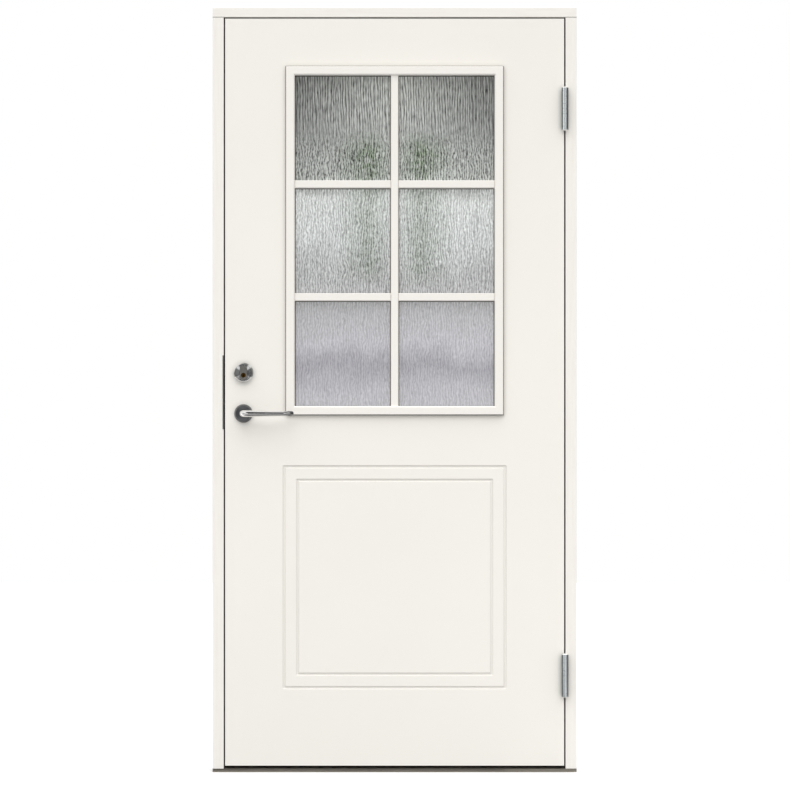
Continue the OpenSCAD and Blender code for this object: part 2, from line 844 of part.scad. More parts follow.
// The short bars between the upright bar and the glazing frame
module horizontal_bars() {
  for (k = [1:light_rows - 1], s = [-1, 1])
    translate([s * (bar_w + bar_len) / 2, -sight_h / 2 + k * (light_h + bar_w) - bar_w / 2, -glass_depth])
      intersection() {
        rotate([90, 0, 90]) linear_extrude(bar_len, center = true) bar_section();
        rotate([90, 0, 0]) linear_extrude(2 * bar_w, center = true) bar_side();
      }
}

module outer_vertical_bar() {
  color(white) on_outside(0, glazing_z) vertical_bar();
}

module inner_vertical_bar() {
  color(white) on_inside(0, glazing_z) vertical_bar();
}

module outer_horizontal_bars() {
  color(white) on_outside(0, glazing_z) horizontal_bars();
}

module inner_horizontal_bars() {
  color(white) on_inside(0, glazing_z) horizontal_bars();
}

// One pane of the sealed unit, counted from outside
module pane(k) {
  y0 = y_out + glass_depth + k * (pane_t + pane_gap);
  color([0.70, 0.74, 0.72, 0.6])
    block([-pane_w / 2, y0, glazing_z - pane_h / 2], [pane_w / 2, y0 + pane_t, glazing_z + pane_h / 2]);
}

module outer_pane() {
  pane(0);
}

module middle_pane() {
  pane(1);
}

module inner_pane() {
  pane(2);
}

// Spacer profiles that hold the panes apart
module glass_spacers() {
  border = 8;
  color([0.30, 0.30, 0.30]) for (k = [0, 1])
    on_outside(0, glazing_z) translate([0, 0, -glass_depth - pane_t - pane_gap - k * (pane_t + pane_gap)])
      flat_ring(pane_w - border, pane_h - border, border, pane_gap);
}

// Rubber strips between the glazing frames and the glass
module glazing_gaskets() {
  border = glazing_face - glazing_lap - 2 * leg_room;
  ring_w = sight_w + 2 * border;
  ring_h = sight_h + 2 * border;
  color([0.15, 0.15, 0.15]) {
    on_outside(0, glazing_z) translate([0, 0, -glass_depth]) flat_ring(ring_w, ring_h, border, gasket_t);
    on_inside(0, glazing_z) translate([0, 0, -glass_depth]) flat_ring(ring_w, ring_h, border, gasket_t);
  }
}

// Blocks under the glass that carry its weight
module setting_blocks() {
  block_l = 80;
  z0 = glazing_z - opening_h / 2;
  color([0.20, 0.25, 0.30]) for (s = [-1, 1]) translate([s * pane_w / 3, 0, 0])
    block([-block_l / 2, y_mid - unit_t / 2 + 1, z0],
          [block_l / 2, y_mid + unit_t / 2 - 1, z0 + pane_room]);
}

// Openings for the latch and the dead bolt through the lock's front
module bolt_openings() {
  for (b = bolt_list())
    block([-leaf_x - 1, y_mid - bolt_t / 2 - move_gap, b[0] - move_gap],
          [case_x + case_wall + 1, y_mid + bolt_t / 2 + move_gap, b[0] + bolt_h + move_gap]);
}

// Holes across the lock case for the follower, the cam and the bolts
module case_holes() {
  y0 = y_mid - case_t;
  y1 = y_mid + case_t;
  translate([lock_x, 0, handle_z]) {
    rod_y(hub_d + 2 * run_fit, y0, y1);
    for (s = [-1, 1]) translate([s * rose_bolt_in, 0, 0]) rod_y(rose_bolt_d + 2 * bolt_room, y0, y1);
  }
  translate([lock_x, 0, plug_z]) rod_y(cam_hub_d + 2 * run_fit, y0, y1);
  translate([lock_x, 0, cylinder_z + cylinder_bolt_up]) rod_y(cylinder_bolt_d + 2 * bolt_room, y0, y1);
}

// Middle of the latch spring, beside the latch's tail
spring_y = (drive_y0 + drive_y1) / 2;
spring_z = latch_z0 + bolt_h - spring_d / 2 - spring_down;
spring_x = -leaf_x - latch_throw + head_l + move_gap;

// Pressed steel tray of the lock, with the lug that the latch spring pushes against
module lock_case() {
  lug_t = 3;
  color(steel) difference() {
    union() {
      difference() {
        block([case_x, y_mid - case_t / 2, case_z0], [case_x + case_d, cave_y1, case_z1]);
        block([case_x + case_wall, cave_y0, case_z0 + case_wall],
              [case_x + case_d - case_wall, cave_y1 + 1, case_z1 - case_wall]);
      }
      translate([spring_x + spring_l + move_gap, 0, latch_z0 + bolt_h]) {
        block([0, tail_y1 + move_gap, -spring_d - 2 * spring_down], [lug_t, cave_y1, lug_t]);
        block([0, cave_y0, move_gap], [lug_t, cave_y1, lug_t]);
      }
    }
    bolt_openings();
    case_holes();
  }
}

module lock_cover() {
  color(steel) difference() {
    block([case_x, cave_y1, case_z0], [case_x + case_d, cave_y1 + case_wall, case_z1]);
    case_holes();
  }
}

// Place of the forend's screws along its length
function forend_screw_zs() = [for (s = [-1, 1]) lock_z + s * (forend_l / 2 - forend_screw_in)];

// Puts children on the forend's face with +Z out of the leaf's edge
module on_forend(z) {
  translate([-leaf_x, y_mid, z]) rotate([0, -90, 0]) children();
}

// Forend in the leaf's edge, with rounded ends
module lock_forend() {
  color(steel) difference() {
    translate([-leaf_x, y_mid, lock_z]) rotate([90, 0, 90])
      linear_extrude(forend_t) stadium(forend_w, forend_l);
    bolt_openings();
    for (z = forend_screw_zs()) on_forend(z) screw_form(seat_fit);
  }
}

module forend_screws() {
  color(steel) for (z = forend_screw_zs()) on_forend(z) screw();
}

// Turned rose with a coned rim and blind holes for its bolts
module rose() {
  rim = 3.5;
  lip = 0.5;
  bore_r = neck_d / 2 + move_gap;
  difference() {
    rotate_extrude() polygon([
      [bore_r, 0], [rose_d / 2, 0], [rose_d / 2, rose_foot], [rose_d / 2 - lip, rose_foot + 2 * lip],
      [rose_d / 2 - rim, rose_h - lip], [rose_d / 2 - rim - lip, rose_h], [bore_r, rose_h]
    ]);
    for (s = [-1, 1]) translate([s * rose_bolt_in, 0, -eps])
      cylinder(d = rose_bolt_d + 2 * seat_fit, h = rose_h / 2);
  }
}

module outside_rose() {
  color([0.33, 0.34, 0.35]) on_outside(lock_x, handle_z) rose();
}

module inside_rose() {
  color([0.33, 0.34, 0.35]) on_inside(lock_x, handle_z) rose();
}

// Bolts that draw the two roses together through the lock
module rose_bolts() {
  bolt_in = rose_h / 2 - 2 * seat_fit;
  color(steel) for (s = [-1, 1]) translate([lock_x + s * rose_bolt_in, 0, handle_z])
    rod_y(rose_bolt_d, y_out - bolt_in, y_in + bolt_in);
}

// Dished ring round the oval cylinder
module cylinder_ring() {
  rim = 3;
  crest = 1;
  dish = 5;
  rim_r = ring_d / 2 - rim;
  color(steel) on_outside(lock_x, cylinder_z) difference() {
    rotate_extrude() polygon([
      [0, 0], [ring_d / 2, 0], [ring_d / 2, rose_foot], [rim_r, ring_h], [rim_r - crest, ring_h],
      [0, ring_h - dish]
    ]);
    translate([0, 0, -1]) linear_extrude(ring_h + 2) stadium(oval_w + 2 * seat_fit, oval_h + 2 * seat_fit);
  }
}

// Oval cylinder with the bore of the key plug
module cylinder_body() {
  back = leaf_t / 2 - case_t / 2 - cylinder_short;
  color([0.75, 0.72, 0.62]) on_outside(lock_x, cylinder_z) difference() {
    translate([0, 0, -back]) linear_extrude(back + ring_h - cylinder_sink) stadium(oval_w, oval_h);
    translate([0, -plug_down, -leaf_t]) cylinder(d = plug_d + 2 * run_fit, h = 2 * leaf_t);
    translate([0, cylinder_bolt_up, -back - eps]) cylinder(d = cylinder_bolt_d + 2 * seat_fit, h = back);
  }
}

// Bolt that holds the cylinder from the inside, through the lock
module cylinder_bolt() {
  color(steel) translate([lock_x, 0, cylinder_z + cylinder_bolt_up])
    rod_y(cylinder_bolt_d, y_out + 2 * seat_fit, y_in - seat_fit);
}

// Rose of the thumb turn, over the cylinder's bolt
module thumbturn_rose() {
  rim = 3;
  color([0.33, 0.34, 0.35]) on_inside(lock_x, cylinder_z) difference() {
    rotate_extrude()
      polygon([[0, 0], [rose_d / 2, 0], [rose_d / 2, rose_foot], [rose_d / 2 - rim, rose_h], [0, rose_h]]);
    translate([0, -plug_down, -1]) cylinder(d = turn_shaft_d + 2 * run_fit, h = rose_h + 2);
  }
}

// Round lever with a drawn elbow, a tapering grip and a tip that turns back to the door
module lever() {
  bend_r = neck_d / 2 + 6;
  tip_bend_r = 40;
  tip_turn = 32;
  neck_z0 = 2;
  taper_l = 55;
  tip_d = grip_d - 1;
  socket_w = spindle_w + 2 * seat_fit;
  socket_l = spindle_out - neck_z0 + 1;
  bar_end = lever_reach - tip_d / 2 - tip_bend_r * sin(tip_turn);
  difference() {
    union() {
      translate([0, 0, neck_z0]) cylinder(d = neck_d, h = lever_out - bend_r - neck_z0);
      translate([bend_r, 0, lever_out - bend_r]) rotate([90, 0, 0]) rotate([0, 0, 90])
        rotate_extrude(angle = 90) translate([bend_r, 0]) circle(d = neck_d);
      translate([bend_r, 0, lever_out]) rotate([0, 90, 0]) cylinder(d1 = neck_d, d2 = grip_d, h = taper_l);
      translate([bend_r + taper_l, 0, lever_out]) rotate([0, 90, 0])
        cylinder(d1 = grip_d, d2 = tip_d, h = bar_end - bend_r - taper_l);
      translate([bar_end, 0, lever_out - tip_bend_r]) rotate([90, 0, 0]) rotate([0, 0, 90 - tip_turn])
        rotate_extrude(angle = tip_turn) translate([tip_bend_r, 0]) circle(d = tip_d);
      translate([bar_end + tip_bend_r * sin(tip_turn), 0, lever_out - tip_bend_r * (1 - cos(tip_turn))])
        sphere(d = tip_d);
    }
    translate([0, 0, neck_z0]) cube([socket_w, socket_w, 2 * socket_l], center = true);
  }
}

module outside_lever() {
  color([0.72, 0.72, 0.72]) on_outside(lock_x, handle_z) lever();
}

module inside_lever() {
  color([0.72, 0.72, 0.72]) on_inside(lock_x, handle_z) lever();
}

// Square bar that joins the two levers through the lock
module spindle() {
  half = spindle_w / 2;
  color(steel) translate([lock_x, 0, handle_z])
    block([-half, y_out - spindle_out, -half], [half, y_in + spindle_out, half]);
}

// A hub across the lock case with a square hole, and an arm of length r that carries a driving pin
module drive_hub(d, r, lean, square_w) {
  disc_d = d + 4;
  hole_w = square_w + 2 * seat_fit;
  difference() {
    rotate([0, lean, 0]) {
      rod_y(d, y_mid - case_t / 2, y_mid + case_t / 2);
      rod_y(disc_d, drive_y0, drive_y1);
      block([-drive_pin_d / 2, drive_y0, 0], [drive_pin_d / 2, drive_y1, r]);
      translate([0, 0, r]) rod_y(drive_pin_d, tail_y0 + move_gap, drive_y1);
    }
    translate([0, y_mid, 0]) cube([hole_w, 2 * case_t, hole_w], center = true);
  }
}

module lock_follower() {
  color([0.70, 0.60, 0.35]) translate([lock_x, 0, handle_z])
    drive_hub(hub_d, follower_r, -lever_turn / 2, spindle_w);
}

// Latch: bevelled head and a tail with the notch that the follower's pin moves in
module latch_bolt() {
  tip_x = -leaf_x - latch_throw;
  rear_x = tip_x + head_l;
  pin_x = lock_x - follower_r * sin(lever_turn / 2);
  y0 = y_mid - bolt_t / 2;
  y1 = y_mid + bolt_t / 2;
  notch_w = drive_pin_d + 2 * move_gap;
  nose_t = 2.5;
  nose_l = 10;
  color([0.70, 0.60, 0.35]) difference() {
    union() {
      translate([0, 0, latch_z0]) linear_extrude(bolt_h)
        polygon([[tip_x, y0], [tip_x, y0 + nose_t], [tip_x + nose_l, y1], [rear_x, y1], [rear_x, y0]]);
      block([rear_x - 1, tail_y0, latch_z0],
            [pin_x + drive_pin_d / 2 + latch_tail, tail_y1, latch_z0 + bolt_h]);
    }
    block([pin_x - notch_w / 2, tail_y0 - 1, latch_z0 - 1],
          [pin_x + notch_w / 2, tail_y1 + 1, handle_z + follower_r + notch_w / 2]);
  }
}

// Points of a ring of the spring's wire at turn t
function spring_ring(t, sides) = [for (k = [0:sides - 1])
  let (a = 360 * t, b = 360 * k / sides, wire_r = spring_wire / 2,
    r = spring_d / 2 - wire_r + wire_r * cos(b),
    along = (spring_l - spring_wire) * t / spring_turns)
  [wire_r + along + wire_r * sin(b), r * cos(a), r * sin(a)]];

// Compression spring that drives the latch out
module latch_spring() {
  sides = 6;
  steps = spring_turns * 10;
  rings = [for (i = [0:steps]) each spring_ring(spring_turns * i / steps, sides)];
  walls = [for (i = [0:steps - 1], k = [0:sides - 1])
    let (a = i * sides + k, b = i * sides + (k + 1) % sides)
    each [[a, b, b + sides], [a, b + sides, a + sides]]];
  first = [for (k = [sides - 1:-1:0]) k];
  last = [for (k = [0:sides - 1]) steps * sides + k];
  color(steel) translate([spring_x, spring_y, spring_z])
    polyhedron(rings, concat([first], walls, [last]));
}

// Dead bolt: square head and a tail with the slot that the cam's pin moves in
module deadbolt() {
  tip_x = -leaf_x + deadbolt_sink;
  rear_x = tip_x + head_l;
  pin_x = lock_x + cam_r * sin(cam_lean);
  slot_w = drive_pin_d + 2 * slot_room;
  color(steel) difference() {
    union() {
      block([tip_x, y_mid - bolt_t / 2, deadbolt_z0], [rear_x, y_mid + bolt_t / 2, deadbolt_z0 + bolt_h]);
      block([rear_x - 1, tail_y0, deadbolt_z0],
            [pin_x + slot_w / 2 + slot_wall, tail_y1, deadbolt_z0 + bolt_h]);
    }
    block([pin_x - slot_w / 2, tail_y0 - 1, plug_z - cam_r - drive_pin_d / 2 - slot_room],
          [pin_x + slot_w / 2, tail_y1 + 1, plug_z]);
  }
}

// Thumb turn: waisted wing, stem and a shaft that ends in a square
module thumbturn() {
  stem_d = 17;
  stem_h = 6;
  lap = 1;
  shaft_l = leaf_t / 2 - case_t / 2;
  color([0.72, 0.72, 0.72]) on_inside(lock_x, plug_z) {
    intersection() {
      translate([0, 0, rose_h + stem_h - lap]) cylinder(d = turn_l, h = turn_h - rose_h - stem_h + lap);
      translate([0, 0, turn_h / 2]) cube([turn_w, turn_l + 1, turn_h], center = true);
      translate([-turn_l, 0, turn_h - turn_l]) rotate([0, 90, 0]) cylinder(r = turn_l, h = 2 * turn_l);
    }
    translate([0, 0, rose_h + move_gap]) cylinder(d1 = stem_d, d2 = turn_w, h = stem_h - move_gap);
    translate([0, 0, -shaft_l]) cylinder(d = turn_shaft_d, h = shaft_l + rose_h + lap);
    translate([0, 0, -shaft_l - case_t / 2]) cube([turn_square, turn_square, case_t], center = true);
  }
}

module deadbolt_cam() {
  color([0.70, 0.60, 0.35]) translate([lock_x, 0, plug_z])
    drive_hub(cam_hub_d, cam_r, cam_lean, turn_square);
}

// Key plug with its keyway and a flat tail
module key_plug() {
  keyway_w = 2.4;
  keyway_h = 8.5;
  keyway_l = 24;
  tail = [6, 2, 1.2];
  back = leaf_t / 2 - case_t / 2 - cylinder_short - 1.5;
  face = ring_h - cylinder_sink / 2;
  color([0.55, 0.45, 0.25]) on_outside(lock_x, plug_z) difference() {
    union() {
      translate([0, 0, -back]) cylinder(d = plug_d, h = back + face);
      translate([-tail[0] / 2, -tail[1] / 2, -back - tail[2]]) cube(tail + [0, 0, 1]);
    }
    translate([-keyway_w / 2, -keyway_h / 2, face - keyway_l]) cube([keyway_w, keyway_h, keyway_l + 1]);
  }
}

head_jamb();
lock_jamb();
hinge_jamb();
threshold();
threshold_nosing();
frame_seal();
strike_plate();
strike_screws();
frame_sleeves();
upper_hinge_frame_leaf();
lower_hinge_frame_leaf();
hinge_pins();
hinge_washers();
frame_hinge_caps();
frame_hinge_screws();
outer_skin();
inner_skin();
lock_stile();
hinge_stile();
top_rail();
bottom_rail();
glazing_surround();
insulation_core();
outer_glazing_frame();
inner_glazing_frame();
outer_vertical_bar();
inner_vertical_bar();
outer_horizontal_bars();
inner_horizontal_bars();
outer_pane();
middle_pane();
inner_pane();
glass_spacers();
glazing_gaskets();
setting_blocks();
lock_case();
lock_cover();
lock_forend();
forend_screws();
outside_rose();
inside_rose();
rose_bolts();
cylinder_ring();
cylinder_body();
cylinder_bolt();
thumbturn_rose();
upper_hinge_door_leaf();
lower_hinge_door_leaf();
door_hinge_caps();
door_hinge_screws();
outside_lever();
inside_lever();
spindle();
lock_follower();
latch_bolt();
latch_spring();
deadbolt();
thumbturn();
deadbolt_cam();
key_plug();
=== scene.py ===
import math

import bpy
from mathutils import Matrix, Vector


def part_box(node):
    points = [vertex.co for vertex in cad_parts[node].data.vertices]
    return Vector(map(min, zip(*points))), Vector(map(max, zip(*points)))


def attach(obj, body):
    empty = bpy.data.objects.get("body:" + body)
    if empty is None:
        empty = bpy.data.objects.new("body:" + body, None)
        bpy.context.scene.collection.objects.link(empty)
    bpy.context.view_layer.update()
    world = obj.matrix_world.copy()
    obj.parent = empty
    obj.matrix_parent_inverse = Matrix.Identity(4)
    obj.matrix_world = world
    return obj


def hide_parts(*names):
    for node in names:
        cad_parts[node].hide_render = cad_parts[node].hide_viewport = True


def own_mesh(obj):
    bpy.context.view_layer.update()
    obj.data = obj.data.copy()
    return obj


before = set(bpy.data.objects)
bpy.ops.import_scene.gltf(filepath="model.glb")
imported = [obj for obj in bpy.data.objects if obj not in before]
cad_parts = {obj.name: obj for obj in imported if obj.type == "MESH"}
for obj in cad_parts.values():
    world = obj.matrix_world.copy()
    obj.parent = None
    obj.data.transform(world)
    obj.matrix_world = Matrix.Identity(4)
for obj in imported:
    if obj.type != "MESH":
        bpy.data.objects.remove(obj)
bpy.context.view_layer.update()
bpy.ops.object.select_all(action="DESELECT")
scene = bpy.context.scene
scene.view_settings.view_transform = "Standard"

# Studio surround: white to the eye, in mirrors and through glass, and dimmer as a light.
# Wide soft lamps hang high at the front left, the front right and behind, far off for an even light.
surround_light = 0.45


def linear(code):
    steps = [int(code[i:i + 2], 16) / 255 for i in (1, 3, 5)]
    return [c / 12.92 if c <= 0.04045 else ((c + 0.055) / 1.055) ** 2.4 for c in steps] + [1.0]


def add_node(tree, kind, settings=None, links=None):
    node = tree.nodes.new(kind)
    for key, value in (settings or {}).items():
        if isinstance(key, int) or key in node.inputs:
            node.inputs[key].default_value = value
        elif key == "stops":
            while len(node.color_ramp.elements) < len(value):
                node.color_ramp.elements.new(0.5)
            for element, (place, colour) in zip(node.color_ramp.elements, value):
                element.position = place
                element.color = linear(colour)
        else:
            setattr(node, key, value)
    for key, socket in (links or {}).items():
        tree.links.new(socket, node.inputs[key])
    return node


def seen_share(tree):
    # 1 for what the eye, a mirror or a pane shows, and 0 for what only lights the door
    rays = add_node(tree, "ShaderNodeLightPath")
    seen = rays.outputs["Is Camera Ray"]
    for kind in ("Is Glossy Ray", "Is Transmission Ray"):
        either = add_node(tree, "ShaderNodeMath", {"operation": "MAXIMUM"}, {0: seen, 1: rays.outputs[kind]})
        seen = either.outputs[0]
    return seen


scene.world = bpy.data.worlds.new("studio_surround")
scene.world.use_nodes = True
sky = scene.world.node_tree
sky.nodes.clear()
dim = add_node(sky, "ShaderNodeBackground", {"Color": linear("#FFFFFF"), "Strength": surround_light})
bright = add_node(sky, "ShaderNodeBackground", {"Color": linear("#FFFFFF"), "Strength": 1.0})
blend = add_node(sky, "ShaderNodeMixShader", {},
                 {0: seen_share(sky), 1: dim.outputs[0], 2: bright.outputs[0]})
add_node(sky, "ShaderNodeOutputWorld", {}, {"Surface": blend.outputs[0]})


def soft_lamp(name, towards, spread, strength):
    lamp = bpy.data.lights.new(name, "SUN")
    lamp.angle = math.radians(spread)
    lamp.energy = strength
    holder = bpy.data.objects.new(name, lamp)
    scene.collection.objects.link(holder)
    holder.rotation_euler = Vector(towards).to_track_quat("-Z", "Y").to_euler()
    holder.visible_glossy = False


soft_lamp("left_lamp", towards=(0.40, 0.55, -1.0), spread=70, strength=1.80)
soft_lamp("right_lamp", towards=(-0.40, 0.55, -1.0), spread=70, strength=1.44)
soft_lamp("back_lamp", towards=(-0.35, -0.75, -0.70), spread=50, strength=1.7)

# Grey cards: boards behind the camera, at both sides and on the floor, for metal and glass to mirror.
# Without them the lever and the barrels would mirror nothing but white. They show in mirrors only.
quarter = math.pi / 2
upright = (quarter, 0, 0)
sideways = (quarter, 0, quarter)
lying = (0, 0, 0)


def grey_card(name, place, turn, size, tone):
    bpy.ops.mesh.primitive_plane_add(size=1)
    card = bpy.context.object
    card.name = name
    card.scale = (size[0], size[1], 1)
    card.rotation_euler = turn
    card.location = place
    bpy.ops.object.transform_apply(location=True, rotation=True, scale=True)
    board = bpy.data.materials.new(name)
    board.use_nodes = True
    tree = board.node_tree
    tree.nodes.clear()
    matt = add_node(tree, "ShaderNodeBsdfDiffuse", {"Color": linear(tone)})
    add_node(tree, "ShaderNodeOutputMaterial", {}, {"Surface": matt.outputs[0]})
    card.data.materials.append(board)
    card.visible_camera = False
    card.visible_diffuse = False
    card.visible_transmission = False
    card.visible_shadow = False


grey_card("low_card", place=(-0.9, -9.6, 1.4), turn=upright, size=(2.0, 3.8), tone="#404040")
grey_card("high_card", place=(-0.9, -9.6, 9.6), turn=upright, size=(12.0, 12.6), tone="#4C4C4C")
grey_card("right_card", place=(2.0, -0.7, 2.0), turn=sideways, size=(3.0, 4.0), tone="#8A8A8A")
grey_card("left_card", place=(-2.4, -4.7, 1.1), turn=sideways, size=(8.6, 0.7), tone="#808080")
grey_card("lying_card", place=(-0.55, -1.13, 0.004), turn=lying, size=(1.7, 2.15), tone="#6E6E6E")
grey_card("floor_card", place=(0.0, -4.0, 0.002), turn=lying, size=(16.0, 7.89), tone="#AFAFAF")

# Floor of the studio: a wide matt white sheet that keeps the door's soft shadow.
# To the eye and in mirrors it has a little light of its own; the door is lit from a greyer sheet.
floor_w = 16
own_light = 0.25
bpy.ops.mesh.primitive_plane_add(size=floor_w)
floor = bpy.context.object
floor.name = "studio_floor"
sheet = bpy.data.materials.new("matt_white_sheet")
sheet.use_nodes = True
tree = sheet.node_tree
tree.nodes.clear()
matt = add_node(tree, "ShaderNodeBsdfDiffuse", {"Color": linear("#AFAFAF")})
shown = add_node(tree, "ShaderNodeBsdfDiffuse", {"Color": linear("#F2F2F2")})
plain = add_node(tree, "ShaderNodeEmission", {"Color": linear("#FFFFFF"), "Strength": 1.0})
look = add_node(tree, "ShaderNodeMixShader", {0: own_light}, {1: shown.outputs[0], 2: plain.outputs[0]})
blend = add_node(tree, "ShaderNodeMixShader", {},
                 {0: seen_share(tree), 1: matt.outputs[0], 2: look.outputs[0]})
add_node(tree, "ShaderNodeOutputMaterial", {}, {"Surface": blend.outputs[0]})
floor.data.materials.append(sheet)

# Camera: straight on from outside with a long lens, as the photograph was taken.
# One pixel of the 790 is 2.72 mm on the door's face.
camera_d = 8.0
view_w = 2.149
aim_x = 0.001
aim_z = 1.0262
face_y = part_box("lock_jamb")[0].y
lens = bpy.data.cameras.new("straight_on")
lens.sensor_width = 36
lens.lens = lens.sensor_width * camera_d / view_w
lens.clip_end = 100
camera = bpy.data.objects.new("straight_on", lens)
scene.collection.objects.link(camera)
camera.location = (aim_x, face_y - camera_d, aim_z)
camera.rotation_euler = upright
scene.camera = camera

# Jambs and head: rebated pine, primed and brushed with off-white satin paint after gluing.
# Satin paint over brush strokes gives a soft even sheen with faint streaks along each length.
# The strokes are 3 mm wide and 150 mm long, and drawn 7 mm wide to show from here.
strokes_across = 150
strokes_along = 6.7


def start_material(name, shader):
    material = bpy.data.materials.new(name)
    material.use_nodes = True
    tree = material.node_tree
    tree.nodes.clear()
    surface = add_node(tree, "ShaderNodeBsdfPrincipled", shader)
    add_node(tree, "ShaderNodeOutputMaterial", {}, {"Surface": surface.outputs[0]})
    place = add_node(tree, "ShaderNodeTexCoord").outputs["Object"]
    return material, tree, surface, place


def mottled(name, shader, grains, detail, tones, span=(0.3, 0.7), sheen=None, bump=None, corner_shade=None):
    # A finish between two tones over a noise with so many grains a metre along X, Y and Z
    material, tree, surface, place = start_material(name, shader)
    lay = add_node(tree, "ShaderNodeMapping", {"Scale": grains}, {"Vector": place})
    noise = add_node(tree, "ShaderNodeTexNoise", {"Scale": 1.0, "Detail": detail}, {"Vector": lay.outputs[0]})
    amount = noise.outputs[0]
    tint = add_node(tree, "ShaderNodeValToRGB", {"stops": list(zip(span, tones))}, {"Fac": amount})
    # Painted shade darkens the colour in corners when a reach and depth of shade are given
    colour = painted_corner_shade(tree, tint.outputs[0], *corner_shade) if corner_shade else tint.outputs[0]
    tree.links.new(colour, surface.inputs["Base Color"])
    if sheen:
        gloss = add_node(tree, "ShaderNodeMapRange", {"To Min": sheen[0], "To Max": sheen[1]},
                         {"Value": amount})
        tree.links.new(gloss.outputs[0], surface.inputs["Roughness"])
    if bump:
        relief = add_node(tree, "ShaderNodeBump", {"Strength": bump[0], "Distance": bump[1]},
                          {"Height": amount})
        tree.links.new(relief.outputs[0], surface.inputs["Normal"])
    return material


def painted_corner_shade(tree, colour, reach, depth):
    # Painted shade: the colour darkens where other surfaces stand within reach
    hollow = add_node(tree, "ShaderNodeAmbientOcclusion", {"Distance": reach, "samples": 8})
    share = add_node(tree, "ShaderNodeMapRange", {"To Min": 1 - depth, "To Max": 1.0},
                     {"Value": hollow.outputs["AO"]})
    corner_shaded = add_node(tree, "ShaderNodeVectorMath", {"operation": "SCALE"},
                     {0: colour, "Scale": share.outputs[0]})
    return corner_shaded.outputs[0]


def dress(material, *names):
    for name in names:
        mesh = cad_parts[name].data
        mesh.materials.clear()
        mesh.materials.append(material)


def brushed_paint(name, stroke):
    grains = [strokes_along if axis == stroke else strokes_across for axis in "XYZ"]
    return mottled(name, {"Roughness": 0.42, "IOR": 1.5}, grains, 3.0, ("#F1EDE6", "#F5F2EC"),
                   sheen=(0.36, 0.48), bump=(0.12, 0.0002))


dress(brushed_paint("brushed_paint_upright", "Z"), "lock_jamb", "hinge_jamb")
dress(brushed_paint("brushed_paint_level", "X"), "head_jamb")

# Joint beads: grey acrylic pressed into the joint between each jamb and the head, wiped almost flush.
# The bead is dull, with softened edges, and shows as a fine line across the jamb's face.
jamb_face = 0.030
bead_h = 0.0017
bead_d = 0.0030
bead_proud = 0.0001
bead_r = 0.0003
acrylic = mottled("grey_acrylic", {"Roughness": 0.8}, [400, 400, 400], 2.0, ("#5C5954", "#6E6B65"))
for name, side in (("lock_jamb", -1), ("hinge_jamb", 1)):
    low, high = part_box(name)
    edge_x = low.x if side < 0 else high.x
    bpy.ops.mesh.primitive_cube_add(size=1)
    bead = bpy.context.object
    bead.name = name + "_joint_bead"
    bead.scale = (jamb_face, bead_d, bead_h)
    bead.location = (edge_x - side * jamb_face / 2, low.y - bead_proud + bead_d / 2, high.z)
    bpy.ops.object.transform_apply(location=True, rotation=True, scale=True)
    wiped = bead.modifiers.new("wiped_edges", "BEVEL")
    wiped.width = bead_r
    wiped.segments = 2
    bpy.ops.object.modifier_apply(modifier="wiped_edges")
    bead.data.materials.append(acrylic)
    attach(bead, "frame")

# Threshold: oiled oak sill with its grain along the door's width.
# Oak shows long brown fibres, 4 mm wide as drawn, with darker pores.
oak, tree, surface, place = start_material("oiled_oak", {"Roughness": 0.5, "IOR": 1.5})
lay = add_node(tree, "ShaderNodeMapping", {"Scale": [5.5, 240, 240]}, {"Vector": place})
fibre = add_node(tree, "ShaderNodeTexNoise", {"Scale": 1.0, "Detail": 6.0, "Roughness": 0.65},
                 {"Vector": lay.outputs[0]})
tint = add_node(tree, "ShaderNodeValToRGB", {"stops": [
    (0.3, "#4A3524"), (0.52, "#7D5C3C"), (0.75, "#9C7A54")]}, {"Fac": fibre.outputs[0]})
relief = add_node(tree, "ShaderNodeBump", {"Strength": 0.3, "Distance": 0.0003}, {"Height": fibre.outputs[0]})
tree.links.new(tint.outputs[0], surface.inputs["Base Color"])
tree.links.new(relief.outputs[0], surface.inputs["Normal"])
dress(oak, "threshold")

# Nosing: extruded aluminium angle, anodised grey-brown, screwed over the front of the sill.
# Anodising keeps the die's fine lines, a millimetre apart, along its length.
anodised = mottled("anodised_aluminium", {"Metallic": 1.0, "Roughness": 0.42}, [4, 900, 900], 3.0,
                   ("#8C867D", "#AAA499"), sheen=(0.35, 0.52))
dress(anodised, "threshold_nosing")

# Seals: extruded black rubber, the frame's pushed into a kerf and the glass's laid on the panes.
# Rubber is dull, with a faint grey bloom in patches of a centimetre.
rubber = mottled("black_rubber", {"Roughness": 0.7, "IOR": 1.52}, [90, 90, 90], 4.0, ("#141312", "#2A2826"),
                 span=(0.35, 0.75), sheen=(0.6, 0.85))
dress(rubber, "frame_seal", "glazing_gaskets")

# Fittings in the frame and the leaf's edge: cold rolled steel plates and screws, zinc plated.
# Zinc is pale grey with cloudy patches and fine rolling lines.
# Painted shade darkens the metal's colour in corners within this reach
corner_shade_reach = 0.03
rolling = [200, 200, 25]


def plated_steel(name, tones, rough, grains, corner_shade_depth=0.3):
    return mottled(name, {"Metallic": 1.0, "Roughness": rough}, grains, 5.0, tones,
                   sheen=(0.75 * rough, 1.25 * rough), corner_shade=(corner_shade_reach, corner_shade_depth))


zinc = plated_steel("zinc_plated_steel", ("#8E9090", "#B4B6B6"), 0.38, rolling)
dress(zinc, "strike_screws", "frame_sleeves", "frame_hinge_screws", "door_hinge_screws", "forend_screws",
      "lock_case", "lock_cover", "lock_forend", "rose_bolts", "cylinder_bolt", "spindle", "deadbolt",
      "latch_spring", "latch_bolt")
# The strike plate's zinc is a darker copy: painted shade on top of the real shade of its recess
dress(plated_steel("strike_steel", ("#8C8B89", "#A2A19F"), 0.45, rolling), "strike_plate")
